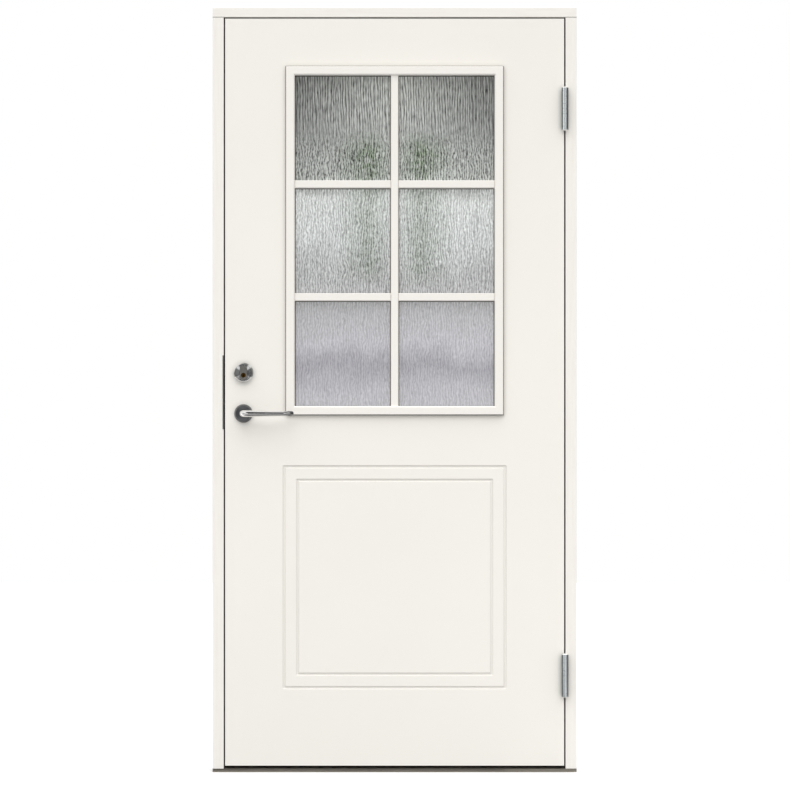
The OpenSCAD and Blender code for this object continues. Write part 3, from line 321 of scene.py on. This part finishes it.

# Hinges: turned steel knuckles welded to plates, zinc plated, on hardened pins with steel washers.
# The lathe leaves fine rings round the barrels; painted shade darkens their flanks, with their fronts left
# light and their backs a little lighter.
barrel_low, barrel_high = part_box("upper_hinge_frame_leaf")
barrel_r = (barrel_high.x - barrel_low.x) / 2
hinge_steel, tree, surface, place = start_material("turned_zinc", {"Metallic": 1.0, "Roughness": 0.24})
lay = add_node(tree, "ShaderNodeMapping", {"Scale": [60, 60, 1500]}, {"Vector": place})
rings = add_node(tree, "ShaderNodeTexNoise", {"Scale": 1.0, "Detail": 5.0}, {"Vector": lay.outputs[0]})
tint = add_node(tree, "ShaderNodeValToRGB", {"stops": [(0.3, "#DCE2E5"), (0.7, "#E8EDF0")]},
                {"Fac": rings.outputs[0]})
parts = add_node(tree, "ShaderNodeSeparateXYZ", {}, {0: place})
# Painted shade by depth along Y: a light front, dark flanks and a lighter back
round_to_back = add_node(tree, "ShaderNodeMapRange", {
    "From Min": barrel_low.y, "From Max": barrel_low.y + 2 * barrel_r}, {"Value": parts.outputs[1]})
painted_flank_shade = add_node(tree, "ShaderNodeValToRGB", {"stops": [
    (0.08, "#FFFFFF"), (0.18, "#64686A"), (0.9, "#64686A"), (1.0, "#D0D3D5")]},
    {"Fac": round_to_back.outputs[0]})
flank_shaded = add_node(tree, "ShaderNodeVectorMath", {"operation": "MULTIPLY"},
                {0: tint.outputs[0], 1: painted_flank_shade.outputs[0]})
tree.links.new(flank_shaded.outputs[0], surface.inputs["Base Color"])
dress(hinge_steel, "upper_hinge_frame_leaf", "lower_hinge_frame_leaf", "upper_hinge_door_leaf",
      "lower_hinge_door_leaf", "hinge_pins", "hinge_washers")

# Hinge caps: moulded nylon plugs pressed into the knuckles.
# Nylon is milky with a fine moulded grain.
nylon = mottled("moulded_nylon", {"Roughness": 0.4, "IOR": 1.53}, [600, 600, 600], 2.0,
                ("#E6E6E2", "#F0F0EC"), bump=(0.1, 0.0001))
dress(nylon, "frame_hinge_caps", "door_hinge_caps")

# Leaf: hard board skins glued on a timber rim and sprayed with off-white satin paint.
# Sprayed paint dries to a fine orange peel, 3 mm from crest to crest, drawn at 9 mm to show.
# Its tone drifts a little over half a metre, and painted shade darkens its corners.
sprayed, tree, surface, place = start_material("sprayed_paint", {"Roughness": 0.4, "IOR": 1.5})
peel = add_node(tree, "ShaderNodeTexNoise", {"Scale": 110.0, "Detail": 2.0}, {"Vector": place})
patch = add_node(tree, "ShaderNodeTexNoise", {"Scale": 2.2, "Detail": 2.0}, {"Vector": place})
tint = add_node(tree, "ShaderNodeValToRGB", {"stops": [(0.3, "#F2EFE8"), (0.7, "#F4F1EA")]},
                {"Fac": patch.outputs[0]})
sheen = add_node(tree, "ShaderNodeMapRange", {"To Min": 0.36, "To Max": 0.46}, {"Value": peel.outputs[0]})
relief = add_node(tree, "ShaderNodeBump", {"Strength": 0.06, "Distance": 0.0003}, {"Height": peel.outputs[0]})
# Painted shade darkens the paint in gaps, grooves and beside raised parts
corner_shaded = painted_corner_shade(tree, tint.outputs[0], reach=0.014, depth=0.47)
tree.links.new(corner_shaded, surface.inputs["Base Color"])
tree.links.new(sheen.outputs[0], surface.inputs["Roughness"])
tree.links.new(relief.outputs[0], surface.inputs["Normal"])
dress(sprayed, "outer_skin", "inner_skin", "lock_stile", "hinge_stile", "top_rail", "bottom_rail")

# Routed squares of the outer skin: two grooves run by a round-nosed cutter before the spraying.
# The nose leaves a soft trough with corners that are round outside and sharp inside.
# The solid's grooves are filled level first, and the nose is then run round both squares.
nose_r = 0.005
trough_d = 0.00275
square_w = 0.601
square_step = 0.03675
square_up = 0.5125
plug_w = 0.618
plug_t = 0.004
touching = 0.000001
sliver = 0.00002
skin_crease = math.radians(30)
low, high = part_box("outer_skin")
square_z = low.z + square_up
nose_y = low.y + trough_d - nose_r


def merge_points(piece, reach):
    # Joins points that lie within reach of each other, and takes out the slivers between them
    bpy.ops.object.select_all(action="DESELECT")
    piece.select_set(True)
    bpy.context.view_layer.objects.active = piece
    bpy.ops.object.mode_set(mode="EDIT")
    bpy.ops.mesh.select_all(action="SELECT")
    bpy.ops.mesh.remove_doubles(threshold=reach)
    bpy.ops.mesh.dissolve_degenerate(threshold=reach)
    bpy.ops.object.mode_set(mode="OBJECT")


def merged_copy(name, node):
    # A copy of a solid's mesh, with its loose triangles joined into one closed skin
    piece = bpy.data.objects.new(name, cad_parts[node].data.copy())
    scene.collection.objects.link(piece)
    merge_points(piece, touching)
    bpy.ops.mesh.customdata_custom_splitnormals_clear()
    return piece


def carve(body, tool, operation="DIFFERENCE"):
    cut = body.modifiers.new("cut", "BOOLEAN")
    cut.operation = operation
    cut.solver = "EXACT"
    cut.object = tool
    bpy.context.view_layer.objects.active = body
    bpy.ops.object.modifier_apply(modifier="cut")
    bpy.data.objects.remove(tool)


skin = merged_copy("routed_skin", "outer_skin")
bpy.ops.mesh.primitive_cube_add(size=1)
blank = bpy.context.object
blank.scale = (plug_w, plug_t, plug_w)
blank.location = (0, low.y + plug_t / 2, square_z)
bpy.ops.object.transform_apply(location=True, rotation=True, scale=True)
carve(skin, blank, "UNION")
for half in (square_w / 2, square_w / 2 - square_step):
    for side in (-1, 1):
        bpy.ops.mesh.primitive_cylinder_add(vertices=32, radius=nose_r, depth=2 * half,
                                            location=(0, nose_y, square_z + side * half),
                                            rotation=(0, quarter, 0))
        carve(skin, bpy.context.object)
        bpy.ops.mesh.primitive_cylinder_add(vertices=32, radius=nose_r, depth=2 * half,
                                            location=(side * half, nose_y, square_z))
        carve(skin, bpy.context.object)
        for end in (-1, 1):
            bpy.ops.mesh.primitive_uv_sphere_add(segments=32, ring_count=16, radius=nose_r,
                                                 location=(side * half, nose_y, square_z + end * half))
            carve(skin, bpy.context.object)
merge_points(skin, sliver)
bpy.ops.object.shade_smooth_by_angle(angle=skin_crease)
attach(skin, "leaf")
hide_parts("outer_skin")
bpy.ops.object.select_all(action="DESELECT")

# Inside the leaf: planed pine lining round the glass and a core of pale foam.
# Pine has wide yellow fibres; the foam is a felt of 1 mm cells.
pine = mottled("planed_pine", {"Roughness": 0.55, "IOR": 1.5}, [90, 90, 7], 5.0, ("#B98F58", "#DDBB85"))
dress(pine, "glazing_surround")
foam, tree, surface, place = start_material("pale_foam", {"Roughness": 0.9})
cells = add_node(tree, "ShaderNodeTexVoronoi", {"Scale": 900.0}, {"Vector": place})
tint = add_node(tree, "ShaderNodeValToRGB", {"stops": [(0.1, "#D8CFAF"), (0.6, "#EFE8CF")]},
                {"Fac": cells.outputs[0]})
tree.links.new(tint.outputs[0], surface.inputs["Base Color"])
dress(foam, "insulation_core")

# Glazing frames and bars: moulded off-white plastic, screwed together through the leaf.
# The mould leaves a very fine spark grain and a low gloss.
moulded = mottled("moulded_plastic", {"Roughness": 0.42, "IOR": 1.49}, [350, 350, 350], 3.0,
                  ("#F2EEE8", "#F4F1EB"), bump=(0.06, 0.0001))
dress(moulded, "outer_glazing_frame", "inner_glazing_frame", "outer_vertical_bar", "inner_vertical_bar",
      "outer_horizontal_bars", "inner_horizontal_bars")

# Shade tape: a dark foam strip squeezed out a little between each glazing frame and the skin. It is painted
# shade, a thin dark line round the frame where the frame's shade falls.
tape_t = 0.0016
tape_out = 0.0018
tape_lap = 0.00005
shade_line_foam = mottled("shade_line_foam", {"Roughness": 0.85}, [700, 700, 700], 2.0, ("#4A4743", "#5E5A55"))


def open_frame(border, depth):
    # Turns the plane in hand into a frame: its middle is cut out and the border drawn out along Y
    bpy.ops.object.mode_set(mode="EDIT")
    bpy.ops.mesh.select_all(action="SELECT")
    bpy.ops.mesh.inset(thickness=border)
    bpy.ops.mesh.delete(type="FACE")
    bpy.ops.mesh.select_all(action="SELECT")
    bpy.ops.mesh.extrude_region_move(TRANSFORM_OT_translate={"value": (0, depth, 0)})
    bpy.ops.mesh.select_all(action="SELECT")
    bpy.ops.mesh.normals_make_consistent(inside=False)
    bpy.ops.object.mode_set(mode="OBJECT")


for side, name, out in ((-1, "outer", 0), (1, "inner", 1)):
    low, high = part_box(name + "_glazing_frame")
    skin_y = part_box(name + "_skin")[out].y
    wide = high.x - low.x
    tall = high.z - low.z
    bpy.ops.mesh.primitive_plane_add(size=1)
    tape = bpy.context.object
    tape.name = name + "_shade_tape"
    tape.scale = (wide + 2 * tape_out, tall + 2 * tape_out, 1)
    tape.rotation_euler = (-side * quarter, 0, 0)
    tape.location = (0, skin_y + side * tape_t, (low.z + high.z) / 2)
    bpy.ops.object.transform_apply(location=True, rotation=True, scale=True)
    open_frame(tape_out - tape_lap, -side * tape_t)
    tape.data.materials.append(shade_line_foam)
    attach(tape, "leaf")

# Shade lips: dark strips along the sides and the top of each light, under the frame and the bars, painted
# shade where the frame and the bars shade the glass. At the foot, where no shade falls, the strip is set back
# under the bar.
lip_w = 0.0022
lip_t = 0.0012
bar_low, bar_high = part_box("outer_vertical_bar")
row_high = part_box("outer_horizontal_bars")[1]
glass_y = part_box("outer_pane")[0].y
bar_w = bar_high.x - bar_low.x
light_w = row_high.x - bar_high.x
light_h = (bar_high.z - bar_low.z - 2 * bar_w) / 3
lips = []
for row in range(3):
    for side in (-1, 1):
        bpy.ops.mesh.primitive_plane_add(size=1)
        lip = bpy.context.object
        lip.scale = (light_w, light_h + lip_w, 1)
        lip.rotation_euler = upright
        lip_z = bar_low.z + row * (light_h + bar_w) + (light_h - lip_w) / 2
        lip.location = (side * (bar_w + light_w) / 2, glass_y - lip_t, lip_z)
        bpy.ops.object.transform_apply(location=True, rotation=True, scale=True)
        open_frame(lip_w, 2 * lip_t)
        lips.append(lip)
for lip in lips:
    lip.select_set(True)
bpy.ops.object.join()
lip = bpy.context.object
lip.name = "shade_lips"
lip.data.materials.append(shade_line_foam)
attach(lip, "leaf")
bpy.ops.object.select_all(action="DESELECT")

# Outer pane: rolled patterned glass, 4 mm thick, with wandering upright ripples on its outer side.
# The ripples are 6 mm apart and about ten times as long, and break up what lies behind.
# The roller's pattern is pressed into a short grid, which is then drawn out to the pane's height.
ripple_w = 0.0055
ripple_h = 0.0011
ripple_room = 0.0006
ripple_stretch = 9.0
grid_columns = 300
grid_rows = 110
pane_crease = math.radians(40)
low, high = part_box("outer_pane")
pane_w = high.x - low.x
pane_h = high.z - low.z
bpy.ops.mesh.primitive_grid_add(x_subdivisions=grid_columns, y_subdivisions=grid_rows, size=1)
pane = bpy.context.object
pane.name = "patterned_pane"
pane.scale = (pane_w, pane_h / ripple_stretch, 1)
pane.rotation_euler = upright
pane.location = (0, low.y + ripple_room, 0)
bpy.ops.object.transform_apply(location=True, rotation=True, scale=True)
ripple = bpy.data.textures.new("ripple", "CLOUDS")
ripple.noise_scale = ripple_w
ripple.noise_depth = 1
press = pane.modifiers.new("roller", "DISPLACE")
press.texture = ripple
press.texture_coords = "LOCAL"
press.strength = ripple_h
press.mid_level = 0.5
bpy.ops.object.modifier_apply(modifier="roller")
bpy.ops.object.mode_set(mode="EDIT")
bpy.ops.mesh.select_all(action="SELECT")
bpy.ops.transform.resize(value=(1, 1, ripple_stretch), center_override=(0, 0, 0))
bpy.ops.transform.translate(value=(0, 0, (low.z + high.z) / 2))
bpy.ops.mesh.select_mode(type="EDGE")
bpy.ops.mesh.select_all(action="DESELECT")
bpy.ops.mesh.select_non_manifold()
bpy.ops.mesh.extrude_edges_move()
bpy.ops.transform.resize(value=(1, 0, 1), center_override=(0, high.y, 0))
bpy.ops.mesh.edge_face_add()
bpy.ops.mesh.select_all(action="SELECT")
bpy.ops.mesh.normals_make_consistent(inside=False)
bpy.ops.object.mode_set(mode="OBJECT")
bpy.ops.object.shade_smooth_by_angle(angle=pane_crease)
# The glass glows with painted light, an emission of its own tone, so that it takes little shadow
rolled, tree, surface, place = start_material("rolled_glass", {
    "Roughness": 0.16, "IOR": 1.5, "Transmission Weight": 0.15, "Emission Strength": 0.37})
# Painted light from the surroundings, blurred by the glass: bands of grey from foot to top, with wavering
# edges
sway_h = 0.16
parts = add_node(tree, "ShaderNodeSeparateXYZ", {}, {0: place})
height = add_node(tree, "ShaderNodeMapRange", {"From Min": low.z, "From Max": high.z},
                  {"Value": parts.outputs[2]})
from_bar = add_node(tree, "ShaderNodeMath", {"operation": "ABSOLUTE"}, {0: parts.outputs[0]})
across = add_node(tree, "ShaderNodeMapRange", {"From Min": 0.0, "From Max": pane_w / 2},
                  {"Value": from_bar.outputs[0]})
drift = add_node(tree, "ShaderNodeTexNoise", {"Scale": 9.0, "Detail": 3.0}, {"Vector": place})
sway = add_node(tree, "ShaderNodeMath", {"operation": "MULTIPLY_ADD", 1: sway_h, 2: -sway_h / 2},
                {0: drift.outputs[0]})
level = add_node(tree, "ShaderNodeMath", {"operation": "ADD"}, {0: height.outputs[0], 1: sway.outputs[0]})
depth = add_node(tree, "ShaderNodeValToRGB", {"stops": [
    (0.05, "#CECDD2"), (0.13, "#B7B6BC"), (0.20, "#D3D2D7"), (0.30, "#C8C8CA"), (0.38, "#C4C5C5"),
    (0.50, "#DCDFDE"), (0.62, "#E8EBE9"), (0.70, "#B5B8B4"), (0.85, "#A9ABA8"), (0.96, "#9D9F9B")]},
    {"Fac": level.outputs[0]})
# Painted light from the surroundings: a dappled green of leafage beside the upright bar, deepest low in the
# top lights
beside = add_node(tree, "ShaderNodeValToRGB", {"stops": [
    (0.02, "#000000"), (0.24, "#FFFFFF"), (0.58, "#000000")]}, {"Fac": across.outputs[0]})
among = add_node(tree, "ShaderNodeValToRGB", {"stops": [
    (0.36, "#000000"), (0.42, "#C8C8C8"), (0.62, "#BCBCBC"), (0.70, "#E8E8E8"), (0.76, "#FFFFFF"),
    (0.83, "#000000")]}, {"Fac": height.outputs[0]})
dapple = add_node(tree, "ShaderNodeTexNoise", {"Scale": 55.0, "Detail": 5.0, "Roughness": 0.75},
                  {"Vector": place})
flecks = add_node(tree, "ShaderNodeMapRange", {"From Min": 0.34, "From Max": 0.58, "To Min": 0.2},
                  {"Value": dapple.outputs[0]})
painted_leafage_area = add_node(tree, "ShaderNodeMath", {"operation": "MULTIPLY"},
                      {0: beside.outputs[0], 1: among.outputs[0]})
painted_leafage = add_node(tree, "ShaderNodeMath", {"operation": "MULTIPLY"},
                 {0: painted_leafage_area.outputs[0], 1: flecks.outputs[0]})
tinted = add_node(tree, "ShaderNodeMixRGB", {"Color2": linear("#707F67")},
                  {"Fac": painted_leafage.outputs[0], "Color1": depth.outputs[0]})
# Painted light and shade of the ripples: crisp upright lines 7 mm apart that wander, and run longer and
# straighter high in the top lights.
# A wave of scale 1 has bands 314 mm wide; the fine streaks between the lines are 4 mm wide.
line_pitch = 0.007
line_scale = 0.314 / line_pitch
streak_scale = 280.0
streak_force = 2.4
streak_shift = -1.7
green_force = 0.5
lay = add_node(tree, "ShaderNodeMapping", {"Scale": [1.0, 1.0, 0.4]}, {"Vector": place})
drawn = add_node(tree, "ShaderNodeMapping", {"Scale": [1.0, 1.0, 0.18], "Rotation": [0, 0.12, 0]},
                 {"Vector": place})
short_wave = add_node(tree, "ShaderNodeTexWave", {
    "bands_direction": "X", "Scale": line_scale, "Distortion": 12.0, "Detail": 3.0, "Detail Scale": 1.3,
    "Detail Roughness": 0.6}, {"Vector": lay.outputs[0]})
long_wave = add_node(tree, "ShaderNodeTexWave", {
    "bands_direction": "X", "Scale": line_scale, "Distortion": 8.5, "Detail": 2.4, "Detail Scale": 0.9,
    "Detail Roughness": 0.55}, {"Vector": drawn.outputs[0]})
aloft = add_node(tree, "ShaderNodeMapRange", {"From Min": 0.76, "From Max": 0.86},
                 {"Value": height.outputs[0]})
wave = add_node(tree, "ShaderNodeMix", {}, {
    "Factor": aloft.outputs[0], 2: short_wave.outputs["Fac"], 3: long_wave.outputs["Fac"]})
short_streak = add_node(tree, "ShaderNodeTexNoise", {"Scale": streak_scale, "Detail": 3.0},
                        {"Vector": lay.outputs[0]})
long_streak = add_node(tree, "ShaderNodeTexNoise", {"Scale": streak_scale, "Detail": 2.0},
                       {"Vector": drawn.outputs[0]})
streak = add_node(tree, "ShaderNodeMix", {}, {
    "Factor": aloft.outputs[0], 2: short_streak.outputs[0], 3: long_streak.outputs[0]})
fine_lines = add_node(tree, "ShaderNodeMath", {"operation": "MULTIPLY_ADD", 1: streak_force, 2: streak_shift},
                      {0: streak.outputs[0]})
lines = add_node(tree, "ShaderNodeMath", {"operation": "ADD"}, {0: fine_lines.outputs[0], 1: wave.outputs[0]})
# The painted lines are strongest at the top and where the painted leafage is
by_height = add_node(tree, "ShaderNodeValToRGB", {"stops": [
    (0.10, "#848484"), (0.30, "#8C8C8C"), (0.36, "#C8C8C8"), (0.64, "#BABABA"), (0.68, "#F8F8F8")]},
    {"Fac": height.outputs[0]})
force = add_node(tree, "ShaderNodeMath", {"operation": "MULTIPLY_ADD", 1: green_force},
                 {0: painted_leafage.outputs[0], 2: by_height.outputs[0]})
shade = add_node(tree, "ShaderNodeMath", {"operation": "MULTIPLY_ADD", 2: 1.0},
                 {0: lines.outputs[0], 1: force.outputs[0]})
# Painted shade darkens the outer corners of the top lights, and the glass's own body takes a share of the
# tone
top_corner_shade_depth = 0.72
body_share = 0.45
top_corner_shade = add_node(tree, "ShaderNodeMapRange", {"From Min": 0.68, "From Max": 0.88, "To Max": top_corner_shade_depth},
                  {"Value": height.outputs[0]})
inward = add_node(tree, "ShaderNodeMath", {"operation": "SUBTRACT", 0: 0.5}, {1: across.outputs[0]})
lit = add_node(tree, "ShaderNodeMath", {"operation": "MULTIPLY_ADD", 2: 1.0},
               {0: top_corner_shade.outputs[0], 1: inward.outputs[0]})
strength = add_node(tree, "ShaderNodeMath", {"operation": "MULTIPLY"},
                    {0: shade.outputs[0], 1: lit.outputs[0]})
tone = add_node(tree, "ShaderNodeVectorMath", {"operation": "SCALE"},
                {0: tinted.outputs[0], "Scale": strength.outputs[0]})
body = add_node(tree, "ShaderNodeVectorMath", {"operation": "SCALE", "Scale": body_share},
                {0: tone.outputs[0]})
tree.links.new(body.outputs[0], surface.inputs["Base Color"])
tree.links.new(tone.outputs[0], surface.inputs["Emission Color"])
pane.data.materials.append(rolled)
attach(pane, "leaf")
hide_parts("outer_pane")

# Middle and inner panes: clear float glass, sealed to a dark spacer and stood on plastic blocks.
# Float glass is green in its depth; the spacer is matt black metal.
float_glass = mottled("float_glass", {"Roughness": 0.02, "IOR": 1.5, "Transmission Weight": 0.95}, [6, 6, 6],
                      2.0, ("#E8EFEA", "#F2F6F3"))
dress(float_glass, "middle_pane", "inner_pane")
dress(plated_steel("black_spacer", ("#2C2C2C", "#3A3A3A"), 0.55, [120, 120, 120]), "glass_spacers")
dress(rubber, "setting_blocks")

# Lock works: follower and cam of drawn brass on their square holes.
# Brass is yellow with fine drawing lines.
brass = plated_steel("drawn_brass", ("#A88646", "#C9A865"), 0.3, [150, 150, 150])
dress(brass, "lock_follower", "deadbolt_cam")

# Latch spring: a coil of zinc plated wire between the latch bolt's tail and the back of the lock case.
# In the lock it shortens by the latch's travel as the lever draws the bolt; here it is a fixed copy with a
# mesh of its own.
coil_crease = math.radians(40)
low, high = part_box("latch_spring")
coil = merged_copy("latch_coil", "latch_spring")
bpy.ops.object.shade_smooth_by_angle(angle=coil_crease)
bpy.ops.object.select_all(action="DESELECT")
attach(coil, "leaf")
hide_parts("latch_spring")
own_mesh(coil)

# Roses: turned stainless steel, satin, with a dark tone that is in part painted shade, bolted through the
# leaf.
# Turning leaves fine circles, half a millimetre apart, that catch the light in fans; on the ring these fans
# are also painted highlights.
rings_per_m = 1600.0
fan_count = 4.0
rim_w = 0.004
rose_tones = ("#66686A", "#7E8082")
rose_rough = 0.3


def turned_steel(name, tones, rough, centre_x, centre_z, edge, painted_fan_strength=0.0):
    material, tree, surface, place = start_material(name, {
        "Metallic": 1.0, "Roughness": rough, "Anisotropic": 0.8})
    round_grain = add_node(tree, "ShaderNodeTangent", {"direction_type": "RADIAL", "axis": "Y"})
    tree.links.new(round_grain.outputs[0], surface.inputs["Tangent"])
    parts = add_node(tree, "ShaderNodeSeparateXYZ", {}, {0: place})
    across = add_node(tree, "ShaderNodeMath", {"operation": "SUBTRACT", 1: centre_x}, {0: parts.outputs[0]})
    up = add_node(tree, "ShaderNodeMath", {"operation": "SUBTRACT", 1: centre_z}, {0: parts.outputs[2]})
    flat = add_node(tree, "ShaderNodeCombineXYZ", {}, {0: across.outputs[0], 2: up.outputs[0]})
    radius = add_node(tree, "ShaderNodeVectorMath", {"operation": "LENGTH"}, {0: flat.outputs[0]})
    rings = add_node(tree, "ShaderNodeTexNoise", {
        "noise_dimensions": "1D", "Scale": rings_per_m, "Detail": 2.0}, {"W": radius.outputs["Value"]})
    tint = add_node(tree, "ShaderNodeValToRGB", {"stops": list(zip((0.3, 0.7), tones))},
                    {"Fac": rings.outputs[0]})
    # Painted highlights: fans of light on the slants between upright and level
    turn = add_node(tree, "ShaderNodeMath", {"operation": "ARCTAN2"},
                    {0: up.outputs[0], 1: across.outputs[0]})
    turns = add_node(tree, "ShaderNodeMath", {"operation": "MULTIPLY", 1: fan_count}, {0: turn.outputs[0]})
    swing = add_node(tree, "ShaderNodeMath", {"operation": "COSINE"}, {0: turns.outputs[0]})
    painted_fan = add_node(tree, "ShaderNodeMapRange", {"From Min": -0.35, "From Max": -0.95, "To Max": painted_fan_strength},
                   {"Value": swing.outputs[0]})
    # Painted highlights: a light rim at the upper left, and a light foot
    painted_rim = add_node(tree, "ShaderNodeMapRange", {
        "From Min": edge - rim_w, "From Max": edge - rim_w / 2, "To Max": painted_fan_strength},
        {"Value": radius.outputs["Value"]})
    lean = add_node(tree, "ShaderNodeMath", {"operation": "SUBTRACT"},
                    {0: up.outputs[0], 1: across.outputs[0]})
    aloft = add_node(tree, "ShaderNodeMapRange", {"From Min": 0.85 * edge, "From Max": 1.3 * edge},
                     {"Value": lean.outputs[0]})
    upper_rim = add_node(tree, "ShaderNodeMath", {"operation": "MULTIPLY"},
                         {0: painted_rim.outputs[0], 1: aloft.outputs[0]})
    painted_foot = add_node(tree, "ShaderNodeMapRange", {
        "From Min": -0.36 * edge, "From Max": -0.48 * edge, "To Max": painted_fan_strength}, {"Value": up.outputs[0]})
    edges = add_node(tree, "ShaderNodeMath", {"operation": "MAXIMUM"},
                     {0: upper_rim.outputs[0], 1: painted_foot.outputs[0]})
    lights = add_node(tree, "ShaderNodeMath", {"operation": "MAXIMUM"},
                      {0: painted_fan.outputs[0], 1: edges.outputs[0]})
    highlighted = add_node(tree, "ShaderNodeMixRGB", {"Color2": linear("#FFFFFF")},
                     {"Fac": lights.outputs[0], "Color1": tint.outputs[0]})
    sheen = add_node(tree, "ShaderNodeMapRange", {"To Min": rough - 0.06, "To Max": rough + 0.1},
                     {"Value": rings.outputs[0]})
    tree.links.new(highlighted.outputs[0], surface.inputs["Base Color"])
    tree.links.new(sheen.outputs[0], surface.inputs["Roughness"])
    return material


rose_low, rose_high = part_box("outside_rose")
ring_low, ring_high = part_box("cylinder_ring")
lock_x = (rose_low.x + rose_high.x) / 2
handle_z = (rose_low.z + rose_high.z) / 2
ring_z = (ring_low.z + ring_high.z) / 2
rose_r = (rose_high.z - rose_low.z) / 2
ring_r = (ring_high.z - ring_low.z) / 2
handle_steel = turned_steel("satin_rose_steel", rose_tones, rose_rough, lock_x, handle_z, rose_r)
dress(handle_steel, "outside_rose", "inside_rose")
dress(turned_steel("satin_turn_rose", rose_tones, rose_rough, lock_x, ring_z, rose_r), "thumbturn_rose")

# Levers and thumb turn: stainless bar, bent, ground and brushed along its length.
# Brushing gives long fine lines and a bright band along the top; painted shade darkens the lever's rounded
# tip.
tip_from = 0.028
tip_to = 0.012
tip_painted_shade = 0.32
# Painted shade also darkens the bar in corners
bar_steel = plated_steel("brushed_stainless", ("#E2E1E0", "#F0EFEE"), 0.1, [12, 900, 900], corner_shade_depth=0.2)
tree = bar_steel.node_tree
base = tree.nodes["Principled BSDF"].inputs["Base Color"]
place = add_node(tree, "ShaderNodeTexCoord").outputs["Object"]
parts = add_node(tree, "ShaderNodeSeparateXYZ", {}, {0: place})
tip_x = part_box("outside_lever")[1].x
# Painted shade: the colour darkens towards the lever's tip
tip = add_node(tree, "ShaderNodeMapRange", {
    "From Min": tip_x - tip_from, "From Max": tip_x - tip_to, "To Min": 1.0, "To Max": tip_painted_shade},
    {"Value": parts.outputs[0]})
tip_shaded = add_node(tree, "ShaderNodeVectorMath", {"operation": "SCALE"},
                {0: base.links[0].from_socket, "Scale": tip.outputs[0]})
tree.links.new(tip_shaded.outputs[0], base)
dress(bar_steel, "outside_lever", "inside_lever", "thumbturn")

# Cylinder: dished ring of turned steel round a nickel plated oval body, with an aged brass plug.
# The ring has four fans of light, and a light foot and rim where its cone faces the lamp, all painted
# highlights; its dark tone is in part painted shade.
ring_painted_fans = 0.9
ring_tones = ("#6C6D6D", "#888989")
ring_rough = 0.22
ring_steel = turned_steel("bright_ring_steel", ring_tones, ring_rough, lock_x, ring_z, ring_r, ring_painted_fans)
dress(ring_steel, "cylinder_ring")
dress(plated_steel("nickel_plate", ("#8F8D88", "#AAA8A2"), 0.3, [300, 300, 300]), "cylinder_body")
dress(plated_steel("aged_brass", ("#2E210D", "#644A20"), 0.38, [350, 350, 350]), "key_plug")
